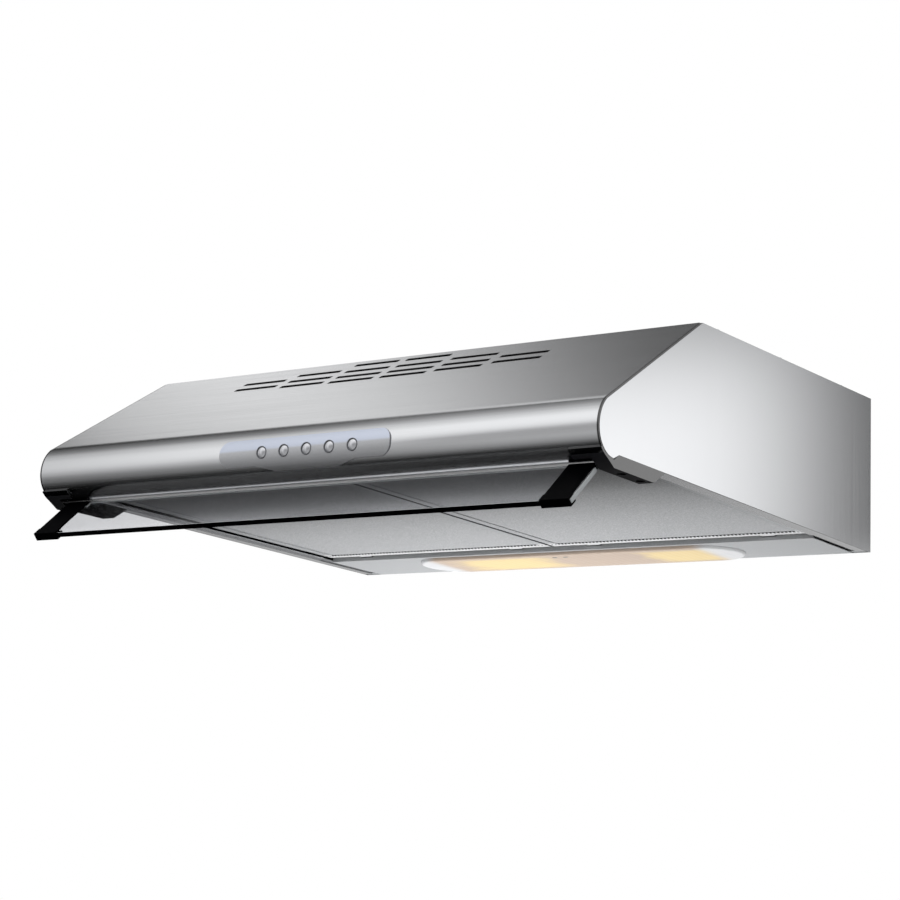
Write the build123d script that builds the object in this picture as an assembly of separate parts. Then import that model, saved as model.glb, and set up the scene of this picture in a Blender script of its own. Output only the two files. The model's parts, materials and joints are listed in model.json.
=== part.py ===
from build123d import *

import math
import os

os.makedirs("parts", exist_ok=True)

# Millimetres. X runs to the right, -Y to the room, +Z up. The origin is the
# centre of the four cabinet screw holes, on the hood's top face.

# Hood body
hood_width = 600.0
hood_depth = 510.0  # wall to the front of the nose
top_setback = 163.0  # front of the nose back to the front edge of the top
slope_foot_setback = 11.0  # and back to the crease between slope and nose
rail_setback = 32.0  # and back to the front end of the side panels' rails
slope_foot_drop = 92.5
nose_middle_drop = 116.0
lip_drop = 140.0
rear_height = 150.0
side_front_height = 135.0  # side panel's height where its rail ends in front
sheet = 0.8
fit = 0.1  # gap between fixed pieces that seat on each other
running = 0.05  # radial gap of a pin or shaft in its hole

# Cabinet and wall fixing
cabinet_row_depth = 170.0  # wall to the middle of the cabinet screw holes
cabinet_spacing_x = 500.0
cabinet_spacing_y = 200.0
cabinet_hole_r = 2.75
wall_spacing_x = 460.0
wall_hole_r = 3.5
wall_hole_drop = 25.0

# Fascia
strip_width = 2.0  # black strip between the fascia's end and the hood's side
strip_edge = 1.2  # of the strip that shows beside the side panel
strip_depth = 3.0
lip_flat = 13.0
lip_hem = 8.0
fascia_tuck = 18.0  # flange under the top sheet
slot_length = 50.2
slot_height = 6.4
slot_corner = 1.0
slot_middle_x = -2.0
slot_column_pitch = 58.1
slot_counts = [2, 4, 6, 6]
slot_row_drops = [11.6, 29.3, 44.0, 57.3]  # down the slope, at the middle of each row
slot_row_bow = [0.0, 12.8, 9.4, 7.7]  # how far the outermost columns sit above it

# Side panels
side_flange = 12.0
rail_outer = 10.0
rail_inner = 8.0
rail_step = 1.5
side_flange_start = 4.0  # where the flange behind the slope begins below the top

# Controls
bezel_middle_x = 10.0
bezel_length = 183.0
bezel_height = 23.8
bezel_corner = 10.5
bezel_lift = 1.5  # its middle above the nose's foremost line
bezel_proud = 1.2
bulge_middle_x = 11.5
bulge_length = 66.0
bulge_drop = 4.9
bulge_ramp = 21.0
skirt_inset = 8.0
skirt_inset_z = 3.5
skirt_wall = 1.6
skirt_reach = 9.0  # from the nose's foremost line back to the switch block
button_middle_x = 14.3
button_lift = 1.0  # above the nose's foremost line
button_pitch = 24.3
button_r = 4.7
button_gap = 0.3
button_proud = 0.5  # of the domed middle; its rim lies just below the bezel
button_dome_r = 14.0
button_travel = 2.5
button_ring_r = 5.5
button_ring_depth = 0.4
stem_r = 2.0
switch_depth = 21.0
switch_margin = 12.0
switch_half_height = 10.5

# Visor, in its own frame: u runs down the glass from the pivot, v to the room
visor_angle = 40.2  # below level, at rest
pivot_setback = 26.0
pin_r = 1.4
boss_wall = 1.2
lip_clearance = 0.8
glass_side_gap = 14.5
glass_top = -1.5
glass_bottom = 52.0
glass_back = -2.4
glass_thickness = 4.0
notch_depth = 6.0  # cut out of the glass's top corners for the arms
arm_cover = 1.7
arm_top = -0.2
arm_side_gap = 16.0
arm_width = 25.0
foot_overhang = 1.0
foot_length = 1.8
foot_back = -4.2
foot_jaw = 7.0
trim_thickness = 0.8

# Hinge blocks
block_width = 14.0
block_wall = 1.6  # below and in front of the pin
cap_width = 16.5
cap_thickness = 1.7
cap_top_drop = 132.8
cap_end_setback = 13.6
block_rear_setback = 105.0
block_rear_chamfer = 17.0

# Grease filters, in the frame of the sloping underside
filter_half_gap = 0.75
filter_side_gap = 19.0
filter_rear_depth = 93.0
filter_front_setback = 40.0
filter_recess = 4.0
filter_thickness = 8.0
filter_border = 10.0
filter_sheet = 0.8
mesh_clearance = 0.1
mesh_sheet = 0.5
tab_width = 14.0
tab_reach = 5.4
tab_thickness = 1.0
tab_from_edge = 45.0
latch_width = 30.0
latch_depth = 12.0
latch_thickness = 3.0
latch_travel = 5.0
latch_window = 22.0
latch_tip_gap = 0.3

# Lamp panel and lamps, in the frame of the sloping underside
lamp_panel_depth = 88.0
lamp_panel_upturn = 14.0
lens_middle_depth = 46.0
lens_length = 372.0
lens_height = 74.0
lens_lap = 3.0
lens_drop = 3.4
lens_wall = 1.6
lens_rim = 3.0
clip_x = [-10.7, 1.8]
clip_width = 4.6
clip_thickness = 2.4
clip_depth = 70.0
reflector_height = 44.0
reflector_length = 396.0
reflector_front_depth = 84.8
reflector_rear_depth = 8.2
holder_r = 14.0
holder_length = 28.0
holder_end_x = 165.0
lamp_axis_height = 24.0
bulb_r = 17.0
bulb_neck_r = 7.0
bulb_length = 75.0

# Fan unit
fan_spacing = 300.0
fan_setback = 147.0  # front edge of the top back to the fan axes
scroll_r = 70.0
housing_wall = 2.0
lid_thickness = 2.5
housing_bottom_drop = 80.0
channel_width = 46.0
plenum_half_x = 72.0
plenum_rear_reach = 88.0  # behind the fan axes
lid_overhang = 6.0
lid_web = 26.0
window_width = 118.0
window_top_drop = 20.0
window_bottom_drop = 68.0
inlet_r = 48.0
motor_r = 32.0
motor_drop = 36.0
shaft_r = 3.0
shaft_fit = 0.02
shaft_bottom_drop = 60.0
hub_r = 9.0
wheel_r = 58.0
wheel_bore_r = 46.0
backplate_drop = 39.5
backplate_thickness = 1.5
wheel_bottom_drop = 75.0
wheel_ring = 2.0
blade_thickness = 1.4
blade_angle = 35.0
blades = 24
guard_height = 2.0
guard_ring = 2.0
guard_radii = [16.0, 32.0, 48.0]
guard_rim = 5.0

# Recirculation flap
flap_plate = 2.0
flap_lap = 3.0
flap_rod_r = 2.0
flap_ear = 4.0
flap_lever = 20.0

# Duct collar and backdraft flaps
collar_reach = 25.0  # fan axes back to the duct's axis
collar_r = 60.0
collar_wall = 2.0
collar_height = 29.0
collar_flange_r = 72.0
collar_flange = 2.0
ledge = 3.0
ledge_thickness = 1.0
flap_pin_r = 1.5
flap_pin_height = 10.0
damper_thickness = 1.2
damper_gap = 2.0
knuckle_r = 3.0
knuckle_length = 10.0
knuckle_gap = 0.4
knuckle_x = [-40.0, 15.0]

# Electrics
gland_side_gap = 100.0
gland_depth = 35.0
gland_bore_r = 4.0
gland_r = 8.0
gland_flange_r = 11.0
gland_flange = 2.0
gland_height = 6.0
gland_tail = 8.0
terminal_length = 60.0
terminal_width = 40.0
terminal_height = 25.0
terminal_wall = 2.0
capacitor_x = -200.0
capacitor_length = 50.0
capacitor_width = 30.0
capacitor_height = 25.0

# Screws
screw_r = 1.8
screw_head_r = 3.6
screw_head = 2.0
screw_length = 6.0
screw_hole_gap = 0.1
side_screw_rear_depth = 60.0
side_screw_front_setback = 37.0  # behind the front edge of the top
side_screw_middle_setback = 157.0
fascia_screw_x = [-220.0, 0.0, 220.0]
fan_screw_reach = 55.0  # in front of the fan axes and behind them
collar_screws = 4
block_screw_setbacks = [78.0, 48.0]

# Places worked out from the values above
half = hood_width / 2
wall_y = cabinet_row_depth
top_depth = hood_depth - top_setback
fan_depth = top_depth - fan_setback
gland_x = half - gland_side_gap
pivot_depth = hood_depth - pivot_setback
filter_front_depth = hood_depth - filter_front_setback
filter_outer_x = half - filter_side_gap
glass_width = hood_width - 2 * glass_side_gap
arm_outer_x = half - arm_side_gap
arm_inner_x = arm_outer_x - arm_width
foot_outer_x = arm_outer_x + foot_overhang
foot_inner_x = arm_inner_x - foot_overhang
block_inner_x = half - block_width
cap_inner_x = block_inner_x - cap_width
side_screw_depths = [
    side_screw_rear_depth, top_depth - side_screw_middle_setback,
    top_depth - side_screw_front_setback,
]
fan_screw_depths = [fan_depth - fan_screw_reach, fan_depth + fan_screw_reach]
block_screw_depths = [hood_depth - setback for setback in block_screw_setbacks]
fall = rear_height - side_front_height
tilt = math.degrees(math.atan2(fall, hood_depth - rail_setback))
under = Pos(0, wall_y, -rear_height) * Rot(-tilt, 0, 0)
fascia_half = half - strip_width
panel_inner = half - sheet
under_top = sheet + fit  # first level below the top sheet that is clear of it


def at(depth):
    """Y of a place that lies this far from the wall."""
    return wall_y - depth


def box(x0, x1, y0, y1, z0, z1):
    size = Box(abs(x1 - x0), abs(y1 - y0), abs(z1 - z0))
    return Pos((x0 + x1) / 2, (y0 + y1) / 2, (z0 + z1) / 2) * size


def rod_x(x0, x1, y, z, radius):
    return Pos((x0 + x1) / 2, y, z) * Rot(0, 90, 0) * Cylinder(radius, abs(x1 - x0))


def rod_y(x, y0, y1, z, radius):
    return Pos(x, (y0 + y1) / 2, z) * Rot(90, 0, 0) * Cylinder(radius, abs(y1 - y0))


def rod_z(x, y, z0, z1, radius):
    return Pos(x, y, (z0 + z1) / 2) * Cylinder(radius, abs(z1 - z0))


def slab(face, x0, x1):
    """A face drawn with Y and Z as its two axes, made solid from x0 to x1."""
    return Pos(x0, 0, 0) * extrude(Plane.YZ * face, amount=x1 - x0)


def plate(points, x0, x1):
    return slab(make_face(Polyline(*points, close=True)), x0, x1)


def flip(shape):
    """The same piece for the hood's other side."""
    return mirror(shape, about=Plane.YZ)


def save(name, shape):
    export_step(shape, "parts/" + name + ".step")


# Outline of the hood's front: slope, crease and round nose
top_edge_y = at(top_depth)
crease = (at(hood_depth - slope_foot_setback), -slope_foot_drop)
nose_y = at(hood_depth)
slope_length = math.hypot(crease[0] - top_edge_y, crease[1])
slope_dir = ((crease[0] - top_edge_y) / slope_length, crease[1] / slope_length)
inward = (-slope_dir[1], slope_dir[0])
nose_step = crease[0] - nose_y
upper_r = (nose_step**2 + (crease[1] + nose_middle_drop) ** 2) / (2 * nose_step)
lower_r = lip_drop - nose_middle_drop
upper_middle = (nose_y + upper_r, -nose_middle_drop)
lower_middle = (nose_y + lower_r, -nose_middle_drop)
hem_y = lower_middle[0] + lip_flat


def on_circle(middle, radius, degrees):
    angle = math.radians(degrees)
    return (middle[0] + radius * math.cos(angle), middle[1] + radius * math.sin(angle))


def front_curve(inset):
    """Edges of the front outline from the top edge to the nose's lowest line."""
    start = (top_edge_y + inset / inward[0], 0.0)
    away = (start[0] - upper_middle[0], start[1] - upper_middle[1])
    along = away[0] * slope_dir[0] + away[1] * slope_dir[1]
    reach = along**2 - (away[0] ** 2 + away[1] ** 2) + (upper_r - inset) ** 2
    run = math.sqrt(reach) - along
    fold = (start[0] + run * slope_dir[0], start[1] + run * slope_dir[1])
    fold_angle = math.degrees(
        math.atan2(fold[1] - upper_middle[1], fold[0] - upper_middle[0])
    )
    front = (nose_y + inset, -nose_middle_drop)
    low = (lower_middle[0], -lip_drop + inset)
    high_half = on_circle(upper_middle, upper_r - inset, (fold_angle + 180) / 2)
    low_half = on_circle(lower_middle, lower_r - inset, 225)
    edges = [
        Line(start, fold),
        ThreePointArc(fold, high_half, front),
        ThreePointArc(front, low_half, low),
    ]
    return edges, start, low


def under_z(y):
    """Height of the sloping underside at this Y."""
    return -rear_height + (wall_y - y) * math.tan(math.radians(tilt))


def body_face(inset):
    """The hood's side view, filled."""
    edges, start, low = front_curve(inset)
    tail = Polyline(
        low,
        (lower_middle[0] + 8.0, under_z(lower_middle[0] + 8.0)),
        (wall_y, -rear_height),
        (wall_y, 0.0),
        start,
    )
    return make_face(edges + [tail])


def front_band(outer, inner, x0, x1):
    """A strip that follows the front outline between two insets."""
    edges, start, low = front_curve(outer)
    inner_edges, inner_start, inner_low = front_curve(inner)
    face = make_face(
        edges + inner_edges + [Line(low, inner_low), Line(start, inner_start)]
    )
    return slab(face, x0, x1)


def below(drop, x0, x1):
    """Everything in front of the wall that lies more than this far down."""
    return box(x0, x1, wall_y, at(2 * hood_depth), -drop, -2 * rear_height)


# Casing: top and back
casing_half = panel_inner - fit
top_front_y = top_edge_y + sheet / inward[0] + fit
screw_hole_r = screw_r + screw_hole_gap
side_screw_x = panel_inner - side_flange / 2
fascia_screw_y = top_front_y + fascia_tuck / 2
fan_screw_x = fan_spacing / 2 + scroll_r + housing_wall + lid_overhang / 2
duct_y = at(fan_depth - collar_reach)
duct_bore_r = collar_r - collar_wall
collar_screw_r = (collar_r + collar_flange_r) / 2
wall_hole_z = -wall_hole_drop


def collar_screw_places():
    for n in range(collar_screws):
        angle = math.radians(45 + 360 / collar_screws * n)
        yield collar_screw_r * math.cos(angle), duct_y + collar_screw_r * math.sin(angle)


def top_screw_places():
    for side in (-1, 1):
        for depth in side_screw_depths:
            yield side * side_screw_x, at(depth)
        for depth in fan_screw_depths:
            yield side * fan_screw_x, at(depth)
    for x in fascia_screw_x:
        yield x, fascia_screw_y
    yield from collar_screw_places()


def casing_top():
    top = box(-casing_half, casing_half, top_front_y, wall_y, -sheet, 0)
    top -= rod_z(0, duct_y, -5, 5, duct_bore_r)
    for x in (-cabinet_spacing_x / 2, cabinet_spacing_x / 2):
        for y in (-cabinet_spacing_y / 2, cabinet_spacing_y / 2):
            top -= rod_z(x, y, -5, 5, cabinet_hole_r)
    top -= rod_z(gland_x, at(gland_depth), -5, 5, gland_r + running)
    for x, y in top_screw_places():
        top -= rod_z(x, y, -5, 5, screw_hole_r)
    return top


def casing_back():
    """A sheet below the top's rear edge, turned forward at its foot."""
    back = box(-casing_half, casing_half, wall_y - sheet, wall_y, -rear_height, -sheet)
    turn = box(
        -casing_half, casing_half, -6.0, 0, sheet + fit, 2 * sheet + fit
    )
    back += under * turn
    for x in (-wall_spacing_x / 2, wall_spacing_x / 2):
        back -= rod_y(x, wall_y - 5, wall_y + 5, wall_hole_z, wall_hole_r)
    return back


# Side panel: plate with its rail below and flanges at the top, rear and front
panel_inset = strip_edge + 0.05
flange_inset = strip_depth + 0.05
rail_front_y = hem_y + 0.5


def side_panel():
    """The right one."""
    panel = slab(body_face(panel_inset), panel_inner, half)
    rail_length = wall_y - rail_front_y - 2 * sheet
    step_x = half - rail_outer
    inner_x = step_x - rail_inner
    rail = box(step_x - sheet, half - sheet / 2, -rail_length, -2 * sheet, 0, sheet)
    rail += box(step_x - sheet, step_x, -rail_length, -2 * sheet, 0, rail_step + sheet)
    rail += box(
        inner_x, step_x, -rail_length, -2 * sheet, rail_step, rail_step + sheet
    )
    notch = box(0, half, -6.5, 0, -1, 2 * sheet + 2 * fit)
    panel += under * (rail - notch)
    flange_x = panel_inner - side_flange
    flange_top = -under_top
    top_flange = box(
        flange_x, panel_inner, top_front_y + fascia_tuck + 1.0, wall_y - 2.0,
        flange_top - sheet, flange_top,
    )
    rear_flange = box(
        flange_x, panel_inner, wall_y - 2 * sheet - fit, wall_y - sheet - fit,
        -rear_height + 4.0, flange_top - sheet,
    )
    front_flange = front_band(
        flange_inset, flange_inset + sheet, flange_x, panel_inner
    ) & below(side_flange_start, 0, half)
    panel += top_flange + rear_flange + front_flange
    for depth in side_screw_depths:
        panel -= rod_z(side_screw_x, at(depth), -5, 0, screw_hole_r)
    for depth in block_screw_depths:
        panel -= rod_z(
            block_screw_x, at(depth), under_z(at(depth)) - 1, under_z(at(depth)) + 4,
            screw_hole_r,
        )
    return panel


def edge_gasket():
    """The right one: a black strip with its foot tucked under the fascia."""
    face_strip = front_band(0, strip_edge, fascia_half + 0.1, half - 0.3)
    foot = front_band(
        sheet + fit, strip_depth, panel_inner - side_flange, panel_inner - 0.1
    )
    return (face_strip & below(under_top, 0, half)) + (
        foot & below(side_flange_start, 0, half)
    )


# Fascia
slope_plane = Plane(
    origin=(0, top_edge_y, 0), x_dir=(1, 0, 0), z_dir=(0, -inward[0], -inward[1])
)
skirt_half = bezel_length / 2 - skirt_inset
bezel_top_drop = nose_middle_drop - bezel_lift - bezel_height / 2
bezel_bottom_drop = bezel_top_drop + bezel_height
skirt_top = -bezel_top_drop - skirt_inset_z
skirt_bottom = -bezel_bottom_drop + skirt_inset_z
catch_y = hem_y - sheet  # face of the hem that looks to the filters


def vent_slots():
    cuts = []
    outer = (max(slot_counts) - 1) / 2
    for count, drop, bow in zip(slot_counts, slot_row_drops, slot_row_bow):
        for n in range(count):
            column = n - (count - 1) / 2
            x = slot_middle_x + column * slot_column_pitch
            down = drop - bow * (column / outer) ** 2
            slot = RectangleRounded(slot_length, slot_height, slot_corner)
            cuts.append(extrude(slope_plane * Pos(x, -down) * slot, 5, both=True))
    return cuts


def front_fascia():
    edges, start, low = front_curve(0)
    inner_edges, inner_start, inner_low = front_curve(sheet)
    lip = Polyline(
        low, (hem_y, -lip_drop), (hem_y, -lip_drop + lip_hem),
        (catch_y, -lip_drop + lip_hem), (catch_y, -lip_drop + sheet), inner_low,
    )
    face = make_face(edges + inner_edges + [lip, Line(start, inner_start)])
    fascia = slab(face, -fascia_half, fascia_half)
    tuck_y = top_edge_y + under_top * slope_dir[0] / -slope_dir[1] + 0.05
    fascia += box(
        -fascia_half, fascia_half, tuck_y, top_front_y + fascia_tuck,
        -under_top - sheet, -under_top,
    )
    for cut in vent_slots():
        fascia -= cut
    fascia -= box(
        bezel_middle_x - skirt_half, bezel_middle_x + skirt_half,
        nose_y - 5, nose_y + 12, skirt_bottom, skirt_top,
    )
    for x in fascia_screw_x:
        fascia -= rod_z(x, fascia_screw_y, -5, 0, screw_hole_r)
    return fascia


# Controls
switch_front_y = nose_y + skirt_reach
button_z = -nose_middle_drop + button_lift
button_x = [button_middle_x + (n - 2) * button_pitch for n in range(5)]
button_names = [
    "button_light", "button_off", "button_speed_1", "button_speed_2", "button_speed_3",
]


def bezel_outline():
    """Front view of the bezel: a rounded bar with a wider middle below."""
    bar = Pos(bezel_middle_x, -bezel_top_drop - bezel_height / 2) * RectangleRounded(
        bezel_length, bezel_height, bezel_corner
    )
    low = -bezel_bottom_drop
    half_bulge = bulge_length / 2
    bulge = make_face(
        Polyline(
            (bulge_middle_x - half_bulge - bulge_ramp, low + 1.0),
            (bulge_middle_x - half_bulge - bulge_ramp, low),
            (bulge_middle_x - half_bulge, low - bulge_drop),
            (bulge_middle_x + half_bulge, low - bulge_drop),
            (bulge_middle_x + half_bulge + bulge_ramp, low),
            (bulge_middle_x + half_bulge + bulge_ramp, low + 1.0),
            close=True,
        )
    )
    corners = bulge.vertices().filter_by_position(
        Axis.Y, low - bulge_drop - 0.1, low - bulge_drop + 0.1
    )
    return bar + fillet(corners, 12.0)


def control_bezel():
    reach = bezel_length / 2
    zone = box(
        bezel_middle_x - reach - 5, bezel_middle_x + reach + 5, nose_y - 10, nose_y + 16,
        -bezel_bottom_drop - bulge_drop - 5, -bezel_top_drop + 5,
    )
    skin = front_band(
        -bezel_proud, -0.05, bezel_middle_x - reach - 2, bezel_middle_x + reach + 2
    )
    prism = extrude(Plane.XZ * bezel_outline(), amount=hood_depth, both=True)
    bezel = skin & zone & prism
    outer = box(
        bezel_middle_x - skirt_half + 0.3, bezel_middle_x + skirt_half - 0.3,
        nose_y, switch_front_y, skirt_bottom + 0.3, skirt_top - 0.3,
    )
    hollow = box(
        bezel_middle_x - skirt_half + 0.3 + skirt_wall,
        bezel_middle_x + skirt_half - 0.3 - skirt_wall,
        nose_y + 1.0, switch_front_y,
        skirt_bottom + 0.3 + skirt_wall, skirt_top - 0.3 - skirt_wall,
    )
    bulk = slab(body_face(-bezel_proud / 2), bezel_middle_x - reach, bezel_middle_x + reach)
    bezel += (outer - hollow) & bulk
    for x in button_x:
        bezel -= rod_y(x, nose_y - 5, nose_y + 5, button_z, button_r + button_gap)
        bezel -= rod_y(
            x, nose_y - 5, nose_y - bezel_proud + button_ring_depth, button_z,
            button_ring_r,
        )
    return bezel


def push_button(x):
    tip_y = nose_y - bezel_proud - button_proud
    heel_y = switch_front_y - button_travel - 0.6
    head = rod_y(x, tip_y, heel_y, button_z, button_r)
    head &= Pos(x, tip_y + button_dome_r, button_z) * Sphere(button_dome_r)
    stem = rod_y(x, heel_y, switch_front_y + 5.0, button_z, stem_r)
    return head + stem


def switch_block():
    middle_z = (skirt_top + skirt_bottom) / 2
    body = box(
        button_x[0] - switch_margin, button_x[-1] + switch_margin,
        switch_front_y, switch_front_y + switch_depth,
        middle_z - switch_half_height, middle_z + switch_half_height,
    )
    bore_end = switch_front_y + 5.0 + button_travel + 1.0
    for x in button_x:
        body -= rod_y(x, switch_front_y - 1, bore_end, button_z, stem_r + running)
    return body


# Visor: its frame has the pivot at the origin
boss_r = pin_r + boss_wall
pivot_y = at(pivot_depth)
pivot_z = -lip_drop - lip_clearance - boss_r
glass_front = glass_back + glass_thickness
arm_front = glass_front + 0.1 + arm_cover
foot_end = glass_bottom + foot_length


def visor_point(u, v):
    """Y and Z of a place in the visor's frame, at rest."""
    angle = math.radians(visor_angle)
    forward = u * math.cos(angle) + v * math.sin(angle)
    up = -u * math.sin(angle) + v * math.cos(angle)
    return (pivot_y - forward, pivot_z + up)


def visor_bar(corners, x0, x1):
    return plate([visor_point(u, v) for u, v in corners], x0, x1)


def visor_rect(u0, u1, v0, v1, x0, x1):
    return visor_bar([(u0, v0), (u1, v0), (u1, v1), (u0, v1)], x0, x1)


def visor_glass():
    edge = glass_width / 2
    glass = visor_rect(glass_top, glass_bottom, glass_back, glass_front, -edge, edge)
    notch_x = arm_inner_x - 0.3
    for side in (-1, 1):
        glass -= visor_rect(
            glass_top - 1, glass_top + notch_depth, glass_back - 1, glass_front + 1,
            min(side * notch_x, side * half), max(side * notch_x, side * half),
        )
    return glass


def visor_edge_trim():
    edge = foot_inner_x - 0.1
    return visor_rect(
        glass_bottom, glass_bottom + trim_thickness, glass_back - 0.2, glass_front + 0.2,
        -edge, edge,
    )


def visor_arm():
    """The right one: a cover over the glass, a root at the pivot and a foot."""
    shoulder = glass_top + notch_depth - 0.3
    cover = visor_rect(
        arm_top, foot_end, glass_front + 0.1, arm_front, arm_inner_x, arm_outer_x
    )
    root = visor_rect(0, shoulder, glass_back, arm_front, arm_inner_x, arm_outer_x)
    boss = rod_x(arm_inner_x, arm_outer_x, pivot_y, pivot_z, boss_r)
    foot = visor_rect(
        glass_bottom + 0.1, foot_end, foot_back, arm_front, foot_inner_x, foot_outer_x
    )
    jaw_top = foot_end - foot_length - foot_jaw
    foot += visor_rect(
        jaw_top, foot_end, foot_back, glass_back - 0.1, foot_inner_x, foot_outer_x
    )
    foot += visor_rect(
        jaw_top, foot_end, glass_front + 0.1, arm_front, foot_inner_x, foot_outer_x
    )
    arm = cover + root + boss + foot
    return arm - rod_x(0, half, pivot_y, pivot_z, pin_r + 0.02)


def visor_pins():
    pin = rod_x(arm_inner_x + 1.0, half - 2.0, pivot_y, pivot_z, pin_r)
    return Compound(children=[pin, flip(pin)])


# Hinge blocks under the side panels' front ends
block_bottom_z = pivot_z - pin_r - block_wall
block_screw_x = (block_inner_x + half) / 2
block_drop = under_z(pivot_y) - block_bottom_z


def block_face(end_y, rear):
    """Side view of the block: follows the nose in front, the underside on top."""
    cap_r = lower_r + cap_thickness
    start_angle = 180 + math.degrees(
        math.asin((cap_top_drop - nose_middle_drop) / cap_r)
    )
    end_angle = 180 + math.degrees(math.acos((lower_middle[0] - end_y) / cap_r))
    start = on_circle(lower_middle, cap_r, start_angle)
    middle = on_circle(lower_middle, cap_r, (start_angle + end_angle) / 2)
    end = on_circle(lower_middle, cap_r, end_angle)
    inside = (lower_middle[0], -nose_middle_drop)
    arc = ThreePointArc(start, middle, end)
    if not rear:
        return make_face([arc, Line(end, inside), Line(inside, start)])
    rear_y = at(hood_depth - block_rear_setback)
    heel_y = rear_y - block_rear_chamfer
    rest = Polyline(
        end,
        (pivot_y - boss_wall, block_bottom_z),
        (heel_y, under_z(heel_y) - block_drop),
        (rear_y, under_z(rear_y) - 1.0),
        (rear_y, under_z(rear_y) + 5.0),
        inside,
        start,
    )
    return make_face([arc, rest])


def hinge_block():
    """The right one."""
    end_y = at(hood_depth - cap_end_setback)
    block = slab(block_face(end_y, True), block_inner_x, half)
    cap = slab(block_face(end_y, False), cap_inner_x, block_inner_x)
    block = block + cap
    block -= slab(body_face(-fit), 0, half + 1)
    block -= box(
        0, fascia_half + fit, lower_middle[0], hem_y + fit, -lip_drop - fit,
        -nose_middle_drop
    )
    block -= rod_x(0, half - 1.5, pivot_y, pivot_z, pin_r + running)
    for depth in block_screw_depths:
        z = under_z(at(depth))
        block -= rod_z(block_screw_x, at(depth), z - block_drop - 2, z + 2, screw_hole_r)
        block -= rod_z(
            block_screw_x, at(depth), z - block_drop - 2, z - 4.0, screw_head_r + 0.3
        )
    return block


# Grease filters
filter_bottom = filter_recess
filter_top = filter_recess + filter_thickness
filter_middle_x = (filter_half_gap + filter_outer_x) / 2
tab_x = [filter_half_gap + tab_from_edge, filter_outer_x - tab_from_edge]
latch_z = filter_bottom + filter_sheet + 0.3
latch_x0 = filter_middle_x - latch_width / 2
latch_x1 = filter_middle_x + latch_width / 2
latch_rear = -filter_front_depth + filter_sheet + 0.2 + latch_depth


def filter_frame():
    """The right one: a folded channel round the mesh, with hooks at the rear."""
    front = -filter_front_depth
    rear = -filter_rear_depth
    x0 = filter_half_gap
    x1 = filter_outer_x
    frame = box(x0, x1, front, rear, filter_bottom, filter_top)
    frame -= box(
        x0 + filter_border, x1 - filter_border, front + filter_border,
        rear - filter_border, filter_bottom - 1, filter_top + 1,
    )
    frame -= box(
        x0 + filter_sheet, x1 - filter_sheet, front + filter_sheet, rear - filter_sheet,
        filter_bottom + filter_sheet, filter_top - filter_sheet,
    )
    for x in tab_x:
        frame += box(
            x - tab_width / 2, x + tab_width / 2, rear - 0.5, rear + tab_reach,
            filter_bottom, filter_bottom + tab_thickness,
        )
    frame -= box(
        filter_middle_x - latch_window / 2, filter_middle_x + latch_window / 2,
        front + 2.0, front + filter_border + 1.0, filter_bottom - 1,
        filter_bottom + filter_sheet + 0.1,
    )
    frame -= box(
        latch_x0 + 4.7, latch_x1 - 4.7, front - 1, front + 2.0, latch_z - 0.3,
        latch_z + latch_thickness + 0.3,
    )
    return under * frame


def filter_mesh():
    """The right one: two expanded sheets in the channel, notched round the latch."""
    side = filter_sheet + mesh_clearance
    low = filter_bottom + side
    high = filter_top - side
    sheets = []
    for z0, z1 in ((low, low + mesh_sheet), (high - mesh_sheet, high)):
        mesh = box(
            filter_half_gap + side, filter_outer_x - side,
            -filter_front_depth + side, -filter_rear_depth - side, z0, z1,
        )
        mesh -= box(
            latch_x0 - 1, latch_x1 + 1, -filter_front_depth - 1,
            latch_rear + latch_travel + 1.0, z0 - 1, z1 + 1,
        )
        sheets.append(under * mesh)
    return Compound(children=sheets)


def filter_latch():
    """The right one: a sprung slide with a bolt in front and a finger pull below."""
    front = -filter_front_depth + filter_sheet + 0.2
    top = latch_z + latch_thickness
    body = box(latch_x0, latch_x1, front, latch_rear, latch_z, top)
    catch = (catch_y + sheet - wall_y) + latch_tip_gap + 0.4
    body += box(latch_x0 + 5, latch_x1 - 5, catch, front + 1.0, latch_z, top)
    pull = latch_window / 2 - 3.0
    body += box(
        filter_middle_x - pull, filter_middle_x + pull, front + 1.6, front + 4.0,
        filter_bottom - 0.6, latch_z + 0.5,
    )
    return under * body


# Lamp panel, lens and lamps
lens_y = -lens_middle_depth
hook_slot_z = (filter_recess - 0.6, filter_recess + tab_reach + 0.6)


def lens_shape(shrink, z0, z1):
    shape = SlotOverall(lens_length - 2 * shrink, lens_height - 2 * shrink)
    return extrude(Pos(0, lens_y, z0) * shape, amount=z1 - z0)


def lamp_panel():
    side_x = half - rail_outer - rail_inner - 0.4
    front = -lamp_panel_depth
    panel = box(-side_x, side_x, front, -sheet - fit, 0, sheet)
    panel += box(-side_x, side_x, front, front + sheet, 0, lamp_panel_upturn)
    panel -= lens_shape(lens_lap, -1, 2)
    for x in tab_x:
        for side in (-1, 1):
            panel -= box(
                side * x - tab_width / 2 - 1, side * x + tab_width / 2 + 1,
                front - 1, front + 2, hook_slot_z[0], hook_slot_z[1],
            )
    return under * panel


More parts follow.
